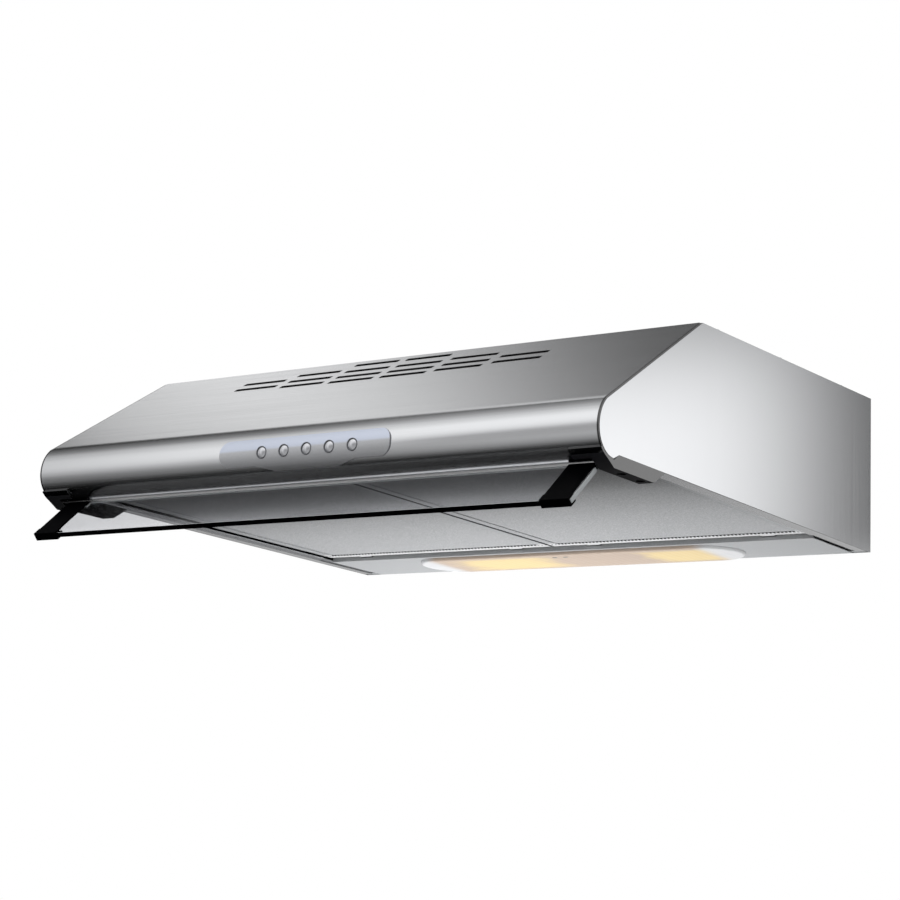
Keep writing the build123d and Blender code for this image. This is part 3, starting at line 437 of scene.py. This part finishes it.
# The left steps go over to the right ones on this stretch.
change_start, change_end = -1.15, -0.75
along = add(
    tree, "ShaderNodeMapRange",
    {"Value": sides["X"], "From Min": change_start, "From Max": change_end},
)
both = add(
    tree, "ShaderNodeMix", {"Factor": along.outputs["Result"], 6: end_light[0], 7: end_light[1]},
    data_type="RGBA",
)
tree.links.new(both.outputs[2], glow.inputs["Color"])
# Its far left, which the nose's left end mirrors, is dimmer.
dim_end, dim_start, dim_brightness = -1.7, -1.35, 0.92
dimmer = add(
    tree, "ShaderNodeMapRange",
    {"Value": sides["X"], "From Min": dim_end, "From Max": dim_start,
     "To Min": dim_brightness, "To Max": arc_brightest},
)
tree.links.new(dimmer.outputs["Result"], glow.inputs["Strength"])
rim = []
for degrees in range(arc_low, arc_high, arc_step):
    angle = math.radians(degrees)
    y = arc_y - arc_radius * math.cos(angle)
    z = arc_z + arc_radius * math.sin(angle)
    rim += [(arc_left, y, z), (arc_right, y, z)]
hang("graduated_card_front", rim, material)
print("front card", len(rim) // 2, "folds")

# %% [markdown]
# Metals
#
# The hood is folded from stainless sheet that was rolled and then brushed. The
# brush leaves fine lines, which stretch a highlight across their run. Noise
# that is drawn out along one axis gives those lines: it varies the colour a
# little, the roughness more, and lifts the surface by a hundredth of a
# millimetre at most. An anisotropic shader would stretch the highlight too, but
# it shows no single lines. Every pattern is placed in metres on the piece
# itself, so it moves with the piece.

# %% Patterns on a piece
# Blender's noise lies mostly between these two values.
noise_low, noise_high = 0.35, 0.65


def pattern_space(tree, scale):
    """The place on the piece, stretched for a pattern; scale is steps to the metre."""
    place = add(tree, "ShaderNodeTexCoord")
    return add(
        tree, "ShaderNodeMapping", {"Vector": place.outputs["Object"], "Scale": scale}
    ).outputs["Vector"]


def tint(tree, value, low, high, span=(noise_low, noise_high)):
    """A colour that goes from low to high while the value crosses the span."""
    part = add(
        tree, "ShaderNodeMapRange", {"Value": value, "From Min": span[0], "From Max": span[1]}
    )
    return add(
        tree, "ShaderNodeMix", {"Factor": part.outputs["Result"], 6: low, 7: high},
        data_type="RGBA",
    ).outputs[2]


print("noise from", noise_low, "to", noise_high)


# %% Brushed stainless steel and zinc
def steel(name, colour, roughness, grain, strength, spread):
    """Brushed metal; grain is lines to the metre along X, Y and Z."""
    material, tree, shader = new_material(name, Metallic=1.0)
    lines = add(
        tree, "ShaderNodeTexNoise",
        {"Vector": pattern_space(tree, grain), "Scale": 1.0, "Detail": 4.0, "Roughness": 0.6},
    ).outputs["Fac"]
    bright = hex_colour(colour)
    dark = [v * (1 - strength) for v in bright[:3]] + [1]
    tree.links.new(tint(tree, lines, dark, bright), shader.inputs["Base Color"])
    dull = add(
        tree, "ShaderNodeMapRange",
        {"Value": lines, "From Min": noise_low, "From Max": noise_high,
         "To Min": roughness - spread, "To Max": roughness + spread},
    )
    tree.links.new(dull.outputs["Result"], shader.inputs["Roughness"])
    bump = add(
        tree, "ShaderNodeBump", {"Height": lines, "Strength": spread * 3, "Distance": 0.00001}
    )
    tree.links.new(bump.outputs["Normal"], shader.inputs["Normal"])
    return material


# A brushing line is about 0.1 mm wide; it is drawn 0.7 mm wide to show at all.
# The front is brushed along its width, so the nose's bands run soft and long.
brushed = steel("stainless_brushed_along_width", "#CFD0D2", 0.2, (4, 1400, 1400), 0.05, 0.05)
# The sides are brushed upright and more finely, so they mirror a little more.
satin = steel("stainless_brushed_upright", "#CFD0D2", 0.15, (1400, 1400, 4), 0.02, 0.015)
# Zinc plating is bluish, duller and slightly blotchy.
screw_zinc = steel("zinc_plated_steel", "#B9BBC0", 0.35, (600, 600, 600), 0.10, 0.05)
print("metals", brushed.name, satin.name, screw_zinc.name)


# %% Draw the folded edge of the sides
def paint(material, mask, colour):
    """Lays a colour over a material's base where the mask is 1."""
    tree = material.node_tree
    base = tree.nodes["Principled BSDF"].inputs["Base Color"]
    over = add(
        tree, "ShaderNodeMix",
        {"Factor": mask, 6: base.links[0].from_socket, 7: hex_colour(colour)},
        data_type="RGBA",
    )
    tree.links.new(over.outputs[2], base)


def band(tree, value, low, high):
    """1 where the value lies between two limits."""
    above = add(tree, "ShaderNodeMath", {0: value, 1: low}, operation="GREATER_THAN")
    below = add(tree, "ShaderNodeMath", {0: value, 1: high}, operation="LESS_THAN")
    return add(
        tree, "ShaderNodeMath", {0: above.outputs[0], 1: below.outputs[0]}, operation="MULTIPLY"
    ).outputs[0]


def off_middle(tree):
    """The distance to the hood's middle plane, on either side."""
    return add(tree, "ShaderNodeMath", {0: axes(tree)["X"]}, operation="ABSOLUTE").outputs[0]


# Where a side's lower edge is folded in, shade collects in the fold: a painted shade line 1.2 mm
# wide runs along it.
fold_shade_inner, fold_shade_outer = 0.2985, 0.2997
tree = satin.node_tree
paint(satin, band(tree, off_middle(tree), fold_shade_inner, fold_shade_outer), "#3A3B3D")
print("fold line", round((fold_shade_outer - fold_shade_inner) * 1000, 1), "mm wide")

# %% [markdown]
# Plastics and coatings
#
# A moulded piece copies its tool: a polished tool gives gloss, an eroded one a
# fine grain. Powder coat and lacquer have a grain of their own. One function
# gives a fine noise as grit, and colour, roughness and depth do the rest.


# %% Moulded plastics and coated sheet
# The dips of the grain are a tenth darker than its tips.
dip_shade = 0.9


def moulded(name, colour, roughness, grit_mm, depth_mm, **more):
    """A moulded or coated surface with a fine grain."""
    material, tree, shader = new_material(name, Roughness=roughness, **more)
    grain = add(
        tree, "ShaderNodeTexNoise",
        {"Vector": pattern_space(tree, (1, 1, 1)), "Scale": 1000 / grit_mm, "Detail": 2.0},
    ).outputs["Fac"]
    base = hex_colour(colour)
    deep = [v * dip_shade for v in base[:3]] + [1]
    tree.links.new(tint(tree, grain, deep, base), shader.inputs["Base Color"])
    bump = add(
        tree, "ShaderNodeBump",
        {"Height": grain, "Strength": 0.3, "Distance": depth_mm / 1000},
    )
    tree.links.new(bump.outputs["Normal"], shader.inputs["Normal"])
    return material


# Black ABS from a polished tool: deep black under a clear highlight.
black_plastic = moulded(
    "abs_moulded_black", "#060608", 0.22, 0.8, 0.004, Coat_Weight=0.7, Coat_Roughness=0.08
)
# Black ABS from an eroded tool: the visor's arms and trim show hardly any shine.
satin_black = moulded(
    "abs_moulded_black_satin", "#020203", 0.45, 0.8, 0.01, Specular_IOR_Level=0.02
)
# Polypropylene is waxy and dull: charcoal for the fan housing, grey for small parts.
dark_plastic = moulded("pp_moulded_charcoal", "#2A2B2D", 0.5, 1.0, 0.03)
grey_plastic = moulded("pp_moulded_grey", "#A2A4A6", 0.5, 1.0, 0.03)
# Powder coat flows out to an even grey with a faint orange peel.
coated = moulded("steel_sheet_powder_coated_grey", "#AEB0B2", 0.45, 1.2, 0.03)
# The motors' cans have a thin, darker and smoother paint.
motor_coat = moulded("steel_can_painted_grey", "#5A5C5F", 0.4, 1.0, 0.03)
# Metal flakes in the lacquer give the panel a soft, grey sheen.
bezel_lacquer = moulded("abs_lacquered_silver", "#B9BABD", 0.38, 0.6, 0.01, Metallic=0.85)
# Satin chrome on the buttons mirrors the room with soft edges.
chromed = moulded("abs_chromed_satin", "#C9CACE", 0.18, 0.8, 0.005, Metallic=1.0)
# Rolled aluminium is greyish white and hardly mirrors, as its skin is oxide.
rolled_aluminium = moulded("aluminium_sheet_rolled", "#B4B6B8", 0.6, 1.5, 0.01, Metallic=0.3)

# The panel's upper part is painted cooler and bluer, a painted reflection of the room's light on
# its flat front; it starts just above the buttons' middle.
reflection_band_start, strip_full = -0.1135, -0.1115
tree = bezel_lacquer.node_tree
upper = add(
    tree, "ShaderNodeMapRange",
    {"Value": axes(tree)["Z"], "From Min": reflection_band_start, "From Max": strip_full},
)
paint(bezel_lacquer, upper.outputs["Result"], "#C2C8D6")
print("upper strip begins", round((strip_full - reflection_band_start) * 1000, 1), "mm soft")

# %% [markdown]
# Glass
#
# The visor is float glass with a grey tint. It sets on a bath of molten tin, so
# its faces are perfectly smooth and need no pattern. Only its cut edges are
# ground dull. The bulbs are frosted inside, which spreads their light over the
# whole bulb.

# %% Glass of the visor and the bulbs
# Clear and smooth: the pane darkens what lies behind it and mirrors the room
# faintly. The index is matched below glass's 1.5, so it mirrors the cards less.
smoked = new_material(
    "float_glass_smoked", Base_Color=hex_colour("#DFE0E3"), Roughness=0.0, IOR=1.33,
    Transmission_Weight=1.0, Specular_IOR_Level=0.2,
)[0]
# A ground edge scatters light, so it looks pale and matt.
ground = new_material(
    "float_glass_ground_edge", Base_Color=hex_colour("#C4C8CA"), Roughness=0.6, IOR=1.5,
    Transmission_Weight=0.2,
)[0]
# A frosted bulb glows evenly and warm.
frosted = new_material(
    "glass_frosted_bulb", Base_Color=hex_colour("#F4EBD6"), Roughness=0.5, IOR=1.5,
    Emission_Color=hex_colour("#FFD88C"), Emission_Strength=2.2,
)[0]
print("glass", smoked.name, ground.name, frosted.name)

# %% [markdown]
# Lamp lens
#
# The lens is fluted polycarbonate, which blurs the two bulbs behind it to soft
# warm spots. They are drawn as spots in the colour and in a faint glow, since
# light through a real diffuser would need far more samples to come out clean.

# %% Flutes and warm spots
# Polycarbonate: milky and half dull, with flutes across its length.
lens_plastic, tree, shader = new_material(
    "polycarbonate_diffuser", Roughness=0.32, IOR=1.5, Emission_Strength=0.08
)
# A wave texture repeats every 2 pi / 20 of its scaled place.
flute_pitch, wave_repeat = 0.0079, 2 * math.pi / 20
place = add(tree, "ShaderNodeTexCoord")
flutes = add(
    tree, "ShaderNodeTexWave",
    {"Vector": place.outputs["Object"], "Scale": wave_repeat / flute_pitch, "Distortion": 0.0},
    bands_direction="X",
)
bump = add(
    tree, "ShaderNodeBump",
    {"Height": flutes.outputs["Fac"], "Strength": 0.35, "Distance": 0.0006},
)
tree.links.new(bump.outputs["Normal"], shader.inputs["Normal"])

# The spots' edges waver by up to 20 mm, as the bulbs' light does in the flutes.
waver = 0.02
clouds = add(
    tree, "ShaderNodeTexNoise", {"Vector": place.outputs["Object"], "Scale": 45.0, "Detail": 2.0}
)
shift = add(
    tree, "ShaderNodeMapRange",
    {"Value": clouds.outputs["Fac"], "To Min": -waver, "To Max": waver},
)
sides = axes(tree)
shifted = add(tree, "ShaderNodeMath", {0: sides["X"], 1: shift.outputs[0]}, operation="ADD")


def soft_change(value, middle, none_at, full_at):
    """Goes smoothly from 0 at one distance from a middle to 1 at another."""
    off = add(tree, "ShaderNodeMath", {0: value, 1: middle}, operation="SUBTRACT")
    off = add(tree, "ShaderNodeMath", {0: off.outputs[0]}, operation="ABSOLUTE")
    return add(
        tree, "ShaderNodeMapRange",
        {"Value": off.outputs[0], "From Min": none_at, "From Max": full_at},
        interpolation_type="SMOOTHSTEP",
    ).outputs[0]


# Two spots, each with its middle along the lens and its reach. The lit strip and
# the lens's plain white ends are given by where they start and where they are full.
spot_places = ((-0.08, 0.075), (0.125, 0.055))
full_part = 0.35
strip_middle, strip_none, strip_full = 0.124, 0.036, 0.022
ends_none, ends_full = 0.148, 0.166
left_spot, right_spot = (
    soft_change(shifted.outputs[0], middle, reach, reach * full_part)
    for middle, reach in spot_places
)
spots = add(tree, "ShaderNodeMath", {0: left_spot, 1: right_spot}, operation="MAXIMUM")
strip = soft_change(sides["Y"], strip_middle, strip_none, strip_full)
lit = add(
    tree, "ShaderNodeMath", {0: spots.outputs[0], 1: strip}, operation="MULTIPLY"
).outputs[0]
ends = soft_change(sides["X"], 0.0, ends_none, ends_full)
# Outside the spots, the lens's middle is painted a dimmer warm beige: painted light of the bulbs
# spread through it. Only its ends keep the lens's own white.
warm = add(
    tree, "ShaderNodeMix", {"Factor": lit, 6: hex_colour("#C5B2A2"), 7: hex_colour("#E2CC98")},
    data_type="RGBA",
)
plain = add(
    tree, "ShaderNodeMix", {"Factor": ends, 6: warm.outputs[2], 7: hex_colour("#DDDEE0")},
    data_type="RGBA",
)
tree.links.new(plain.outputs[2], shader.inputs["Base Color"])
glow = add(
    tree, "ShaderNodeMix", {"Factor": lit, 6: (0, 0, 0, 1), 7: hex_colour("#FFE0A0")},
    data_type="RGBA",
)
tree.links.new(glow.outputs[2], shader.inputs["Emission Color"])
print("lens flutes every", flute_pitch * 1000, "mm")

# %% [markdown]
# Dressing
#
# The record names a finish for every solid, so one table turns those names to
# the materials above. Solids that are rounded or cut later keep it as well.

# %% Dress the carried-over solids
finish_of = {
    "brushed_steel": brushed, "satin_steel": satin, "coated_steel": coated,
    "silver_plastic": bezel_lacquer, "chromed_plastic": chromed,
    "black_plastic": black_plastic, "dark_plastic": dark_plastic,
    "grey_plastic": grey_plastic, "clear_plastic": lens_plastic,
    "frosted_glass": frosted, "smoked_glass": smoked,
    "filter_aluminium": rolled_aluminium, "motor_steel": motor_coat,
    "screw_steel": screw_zinc,
}
slot_of = {part["node"]: part["material_slot"] for part in frame["record"]["subparts"]}


def dress(mesh, material):
    """Gives the whole mesh one material."""
    mesh.materials.clear()
    mesh.materials.append(material)


for node, slot in slot_of.items():
    dress(nodes[node].data, finish_of[slot])
print("dressed", len(slot_of), "nodes")

# %% [markdown]
# Rounded mouldings
#
# No moulded or pressed edge is knife sharp: it catches a thin line of light. A
# solid comes with sharp edges and loose triangles, so a copy of it is welded,
# its flat triangles are joined into faces, and a bevel rounds what is left. It
# could be modelled again from a box, but then it might not fit its neighbours.

# %% Copy, weld and stand in
weld_within, flat_within = 0.000001, math.radians(0.4)
body_for = {
    node: body for body, held in frame["record"]["behaviour"]["bodies"].items() for node in held
}


def only(piece):
    """Operators act on all that is selected, so this piece alone is."""
    bpy.ops.object.select_all(action="DESELECT")
    piece.select_set(True)
    bpy.context.view_layer.objects.active = piece


def welded_copy(node, name):
    """A copy of a solid with its triangles joined into whole faces, selected alone."""
    piece = bpy.data.objects.new(name, nodes[node].data.copy())
    scene.collection.objects.link(piece)
    only(piece)
    bpy.ops.mesh.customdata_custom_splitnormals_clear()
    bpy.ops.object.mode_set(mode="EDIT")
    bpy.ops.mesh.select_all(action="SELECT")
    bpy.ops.mesh.remove_doubles(threshold=weld_within)
    bpy.ops.mesh.dissolve_limited(angle_limit=flat_within)
    bpy.ops.object.mode_set(mode="OBJECT")
    return piece


def stand_in(piece, node):
    """The piece takes the solid's place, on its body and with its finish."""
    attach(piece, body_for[node])
    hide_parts(node)


# %% Round the edges
# An edge that turns by more than the first angle is rounded. One that still
# turns by more than the second keeps its sharp line.
edge_from, sharp_from = math.radians(30), math.radians(48)


def rounded(node, width_mm, segments=2):
    """A copy of a solid with its edges rounded, in the solid's place."""
    piece = welded_copy(node, node + "_rounded")
    bevel = piece.modifiers.new("rounded_edges", "BEVEL")
    bevel.width = width_mm / 1000
    bevel.segments = segments
    bevel.limit_method = "ANGLE"
    bevel.angle_limit = edge_from
    bpy.ops.object.modifier_apply(modifier=bevel.name)
    bpy.ops.object.shade_smooth_by_angle(angle=sharp_from)
    flat = piece.modifiers.new("flat_faces_stay_flat", "WEIGHTED_NORMAL")
    flat.keep_sharp = True
    flat.weight = 100
    bpy.ops.object.modifier_apply(modifier=flat.name)
    stand_in(piece, node)
    return piece


edge_mm = {
    "visor_arm_left": 0.5, "visor_arm_right": 0.5, "visor_edge_trim": 0.25,
    "hinge_block_left": 0.6, "hinge_block_right": 0.6, "control_bezel": 0.8,
    "button_light": 0.4, "button_off": 0.4, "button_speed_1": 0.4, "button_speed_2": 0.4,
    "button_speed_3": 0.4, "filter_frame_left": 0.4, "filter_frame_right": 0.4,
    "filter_latch_left": 0.4, "filter_latch_right": 0.4, "lens_clips": 0.3,
    "lamp_lens": 1.6, "cable_gland": 0.6, "duct_collar": 0.5, "lamp_panel": 0.5,
    "visor_glass": 0.6,
}
rounded_pieces = {}
for node, width in edge_mm.items():
    rounded_pieces[node] = rounded(node, width)
    print(node, len(rounded_pieces[node].data.polygons), "faces")

for node in ("visor_arm_left", "visor_arm_right", "visor_edge_trim"):
    rounded_pieces[node].data.materials[0] = satin_black

# %% [markdown]
# Screw drives
#
# The casing's screws have a cross recess for the driver. It is cut by two bars
# at right angles, one boolean each, so neither cutter crosses itself. A picture
# of a cross would stay flat when the light moves.

# %% Cut the cross recesses
same_screw = 0.009


def screw_axes(mesh):
    """The middle of every screw in a mesh, seen along Z."""
    groups = []
    for vertex in mesh.vertices:
        for group in groups:
            if (vertex.co.xy - group[0]).length < same_screw:
                group.append(vertex.co.xy.copy())
                break
        else:
            groups.append([vertex.co.xy.copy()])
    middles = []
    for group in groups:
        xs, ys = [c.x for c in group], [c.y for c in group]
        middles.append(((min(xs) + max(xs)) / 2, (min(ys) + max(ys)) / 2))
    return middles


def cross_cut(node, face_z, depth_mm=1.1, length_mm=3.6, width_mm=0.8):
    """Cuts a cross into every screw of a node, from the height of their faces."""
    piece = welded_copy(node, node + "_crossed")
    middles = screw_axes(piece.data)
    # The bars stand half above the face, so they are twice as high as the recess.
    long, wide, high = (v / 1000 for v in (length_mm, width_mm, 2 * depth_mm))
    for size in ((long, wide, high), (wide, long, high)):
        bpy.ops.object.select_all(action="DESELECT")
        bpy.ops.mesh.primitive_cube_add(size=1, scale=size, location=(*middles[0], face_z))
        cutter = bpy.context.object
        bpy.ops.object.transform_apply(location=True, rotation=True, scale=True)
        bpy.ops.object.mode_set(mode="EDIT")
        for middle in middles[1:]:
            bpy.ops.mesh.primitive_cube_add(size=1, scale=size, location=(*middle, face_z))
        bpy.ops.object.mode_set(mode="OBJECT")
        only(piece)
        cut = piece.modifiers.new("recess", "BOOLEAN")
        cut.object = cutter
        bpy.ops.object.modifier_apply(modifier=cut.name)
        bpy.data.objects.remove(cutter)
    bpy.ops.object.shade_smooth_by_angle(angle=math.radians(30))
    stand_in(piece, node)
    print(node, len(middles), "screws", len(piece.data.polygons), "faces")


for node in ("screws_casing", "screws_fan", "screws_fascia", "screws_collar"):
    cross_cut(node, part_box(node)[1].z)
cross_cut("screws_hinge_blocks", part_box("screws_hinge_blocks")[0].z)

# %% [markdown]
# Soft bend at the foot of the slope
#
# The fascia is one sheet that is bent over a bar, so the slope turns into the
# nose over a few millimetres. A bevel there would be stopped by the narrow
# faces of the nose. A cut across the slope, 6 mm above the bend, and smooth
# shading let the light turn over that width instead.

# %% Bend the fascia softly
bend_width, bend_smooth = 0.006, math.radians(25)
slope_top, slope_foot = Vector((0, -0.177, 0)), Vector((0, -0.329, -0.0925))
slope_way = (slope_foot - slope_top).normalized()
fascia = welded_copy("front_fascia", "fascia_bent")
bpy.ops.object.mode_set(mode="EDIT")
bpy.ops.mesh.select_all(action="SELECT")
bpy.ops.mesh.bisect(plane_co=slope_foot - slope_way * bend_width, plane_no=slope_way)
bpy.ops.object.mode_set(mode="OBJECT")
bpy.ops.object.shade_smooth_by_angle(angle=bend_smooth)
stand_in(fascia, "front_fascia")
print("fascia", len(fascia.data.polygons), "faces")

# %% [markdown]
# Ground edges of the glass
#
# Float glass is clear on its faces, but its cut edges are ground, which makes
# them pale and dull. The faces that don't look along the pane's thickness get
# that finish.


# %% Grind the edges
def second_finish(mesh, material, chosen):
    """Gives another material to the faces that the chooser picks."""
    mesh.materials.append(material)
    faces = [face for face in mesh.polygons if chosen(face)]
    for face in faces:
        face.material_index = len(mesh.materials) - 1
    return len(faces)


visor_angle, along_thickness = math.radians(40.2), 0.95
thickness = Vector((0, -math.sin(visor_angle), math.cos(visor_angle)))


def cut_edge(face):
    """A face of the pane that doesn't look along its thickness."""
    return abs(face.normal.dot(thickness)) < along_thickness


print("ground faces", second_finish(rounded_pieces["visor_glass"].data, ground, cut_edge))

# %% [markdown]
# Control panel
#
# The panel's edge faces are painted mid grey, a painted shade that draws a thin
# outline round the panel. Each button sits in a collar: a ring turned round the
# button's axis. One ring is modelled and copied for the other four.

# %% Outline of the panel
# A mid grey, dull ABS: painted shade on the panel's edge faces, which draws its outline.
edge_shade_plastic = moulded("abs_moulded_grey", "#8A8C90", 0.5, 0.8, 0.01)
# The panel's front follows the nose, which has one radius above and one below.
nose_z, upper_axis_y, lower_axis_y = -0.116, -0.3094, -0.316
straight_out = 0.93


def off_the_front(face):
    """A face of the panel that doesn't look straight out from the nose."""
    middle = face.center
    axis_y = upper_axis_y if middle.z > nose_z else lower_axis_y
    outward = Vector((0, middle.y - axis_y, middle.z - nose_z)).normalized()
    return face.normal.dot(outward) < straight_out


count = second_finish(rounded_pieces["control_bezel"].data, edge_shade_plastic, off_the_front)
print("outline faces", count)

# %% Turn the button collars
# The collars are a darker grey, a painted shade for the gap round each button, so that each
# button reads as its own piece.
collar_gap_shade_plastic = moulded("abs_moulded_grey_dark", "#5E6064", 0.5, 0.8, 0.01)
collar_r, collar_wire_r, collar_set_back = 0.0051, 0.0005, 0.0001
bezel_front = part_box("control_bezel")[0][1]
bpy.ops.mesh.primitive_torus_add(
    major_radius=collar_r, minor_radius=collar_wire_r, major_segments=48, minor_segments=10,
    rotation=(math.pi / 2, 0, 0),
)
first_collar = bpy.context.object
bpy.ops.object.transform_apply(rotation=True)
bpy.ops.object.shade_smooth()
first_collar.data.materials.append(collar_gap_shade_plastic)
button_names = ("light", "off", "speed_1", "speed_2", "speed_3")
for name in button_names:
    low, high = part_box("button_" + name)
    collar = first_collar.copy()
    collar.data = first_collar.data.copy()
    collar.name = "collar_" + name
    scene.collection.objects.link(collar)
    place = ((low[0] + high[0]) / 2, bezel_front + collar_set_back, (low[2] + high[2]) / 2)
    collar.data.transform(Matrix.Translation(place))
    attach(collar, "hood")
bpy.data.objects.remove(first_collar)
print("collars", len(button_names))

# %% [markdown]
# Textured undersides
#
# A glossy moulding often has a grained underside, where its screws are: it hides
# scratches and shows hardly any reflection. A second material on the faces that
# look down gives that. Its dark grey is lighter than the black above it: painted
# light from below on those faces.

# %% Grain and painted light under the hinge blocks
# Black ABS from a coarsely eroded tool, dull; its dark grey colour, lighter than the glossy
# black, is painted light from below.
grained_black_painted_light = moulded(
    "abs_moulded_black_grained", "#2E2E32", 0.75, 0.9, 0.06, Specular_IOR_Level=0.15
)
downwards = -0.8


def looks_down(face):
    return face.normal.z < downwards


for side in ("left", "right"):
    block = rounded_pieces["hinge_block_" + side].data
    print("grained faces", side, second_finish(block, grained_black_painted_light, looks_down))

# %% [markdown]
# Filters
#
# A grease filter is layers of aluminium mesh in a rolled frame. Wire by wire it
# would take millions of faces, so the sheets of mesh get their pattern from the
# material: bright strands round dark openings. The frame's rear edge has a row
# of small drain slots, which are also drawn.

# %% Mesh of the filters
mesh_edge, mesh_border_width, crease_shade_width = 0.2802, 0.010, 0.0014
divider_border = 0.0115


def expanded_mesh():
    """Expanded aluminium: dull, bright strands round dark openings."""
    material, tree, shader = new_material("aluminium_mesh_expanded", Roughness=0.7, Metallic=0.1)
    # Openings 1 by 1.7 mm, with the crumple of the layers behind them.
    cells = add(
        tree, "ShaderNodeTexVoronoi",
        {"Vector": pattern_space(tree, (1000, 600, 1000)), "Scale": 1.0, "Randomness": 1.0},
        feature="F1",
    )
    crumple = add(
        tree, "ShaderNodeTexNoise",
        {"Vector": pattern_space(tree, (800, 400, 800)), "Scale": 1.0, "Detail": 1.0},
    )
    strands = add(
        tree, "ShaderNodeMath", {0: cells.outputs["Distance"], 1: crumple.outputs["Fac"]},
        operation="ADD",
    ).outputs[0]
    shade = tint(tree, strands, hex_colour("#909294"), hex_colour("#B8B9BB"), (0.5, 1.35))
    tree.links.new(shade, shader.inputs["Base Color"])
    # The mesh's border is pressed flat and bright; the darker band along its inside is painted
    # shade in the crease.
    border_start = mesh_edge - mesh_border_width
    out = off_middle(tree)
    paint(material, band(tree, out, border_start, mesh_edge), "#C4C6C8")
    paint(material, band(tree, out, border_start - crease_shade_width, border_start), "#76787C")
    paint(material, band(tree, axes(tree)["X"], -divider_border, 0.0), "#C4C6C8")
    bump = add(tree, "ShaderNodeBump", {"Height": strands, "Strength": 0.3, "Distance": 0.0002})
    tree.links.new(bump.outputs["Normal"], shader.inputs["Normal"])
    return material


mesh_pattern = expanded_mesh()
for side in ("left", "right"):
    dress(nodes["filter_mesh_" + side].data, mesh_pattern)
print("mesh", mesh_pattern.name)

# %% Frames and drain slots
rear_rim_painted_highlight, drain_row = (0.062, 0.081), (0.0666, 0.0696)
outer_gap_shade, middle_gap_shade = (0.2798, 0.3), (0.0, 0.0021)
slots_per_metre = 250.0


def slotted_edge():
    """Rolled aluminium with a row of drain slots along the rear edge, a painted highlight on the
    rear rim and painted shade beside the gaps.
    """
    material = rolled_aluminium.copy()
    material.name = "aluminium_sheet_punched_edge"
    tree = material.node_tree
    sides = axes(tree)
    # The rear rim is painted lighter, a painted highlight; the frames' edges beside the gaps are
    # painted dark, the shade in the gaps.
    out = off_middle(tree)
    paint(material, band(tree, sides["Y"], *rear_rim_painted_highlight), "#DDDEDF")
    paint(material, band(tree, out, *outer_gap_shade), "#3A3C40")
    paint(material, band(tree, out, *middle_gap_shade), "#3A3C40")
    # Slots are 4 mm apart and 1.6 mm wide, drawn 2 mm wide to show at all.
    step = add(
        tree, "ShaderNodeMath", {0: sides["X"], 1: slots_per_metre}, operation="MULTIPLY"
    )
    part = add(tree, "ShaderNodeMath", {0: step.outputs[0], 1: 1.0}, operation="FLOORED_MODULO")
    gap = add(tree, "ShaderNodeMath", {0: part.outputs[0], 1: 0.5}, operation="LESS_THAN")
    row = band(tree, sides["Y"], *drain_row)
    both = add(tree, "ShaderNodeMath", {0: row, 1: gap.outputs[0]}, operation="MULTIPLY")
    paint(material, both.outputs[0], "#3A3C40")
    return material


punched = slotted_edge()
for side in ("left", "right"):
    dress(rounded_pieces["filter_frame_" + side].data, punched)
print("frames", punched.name)
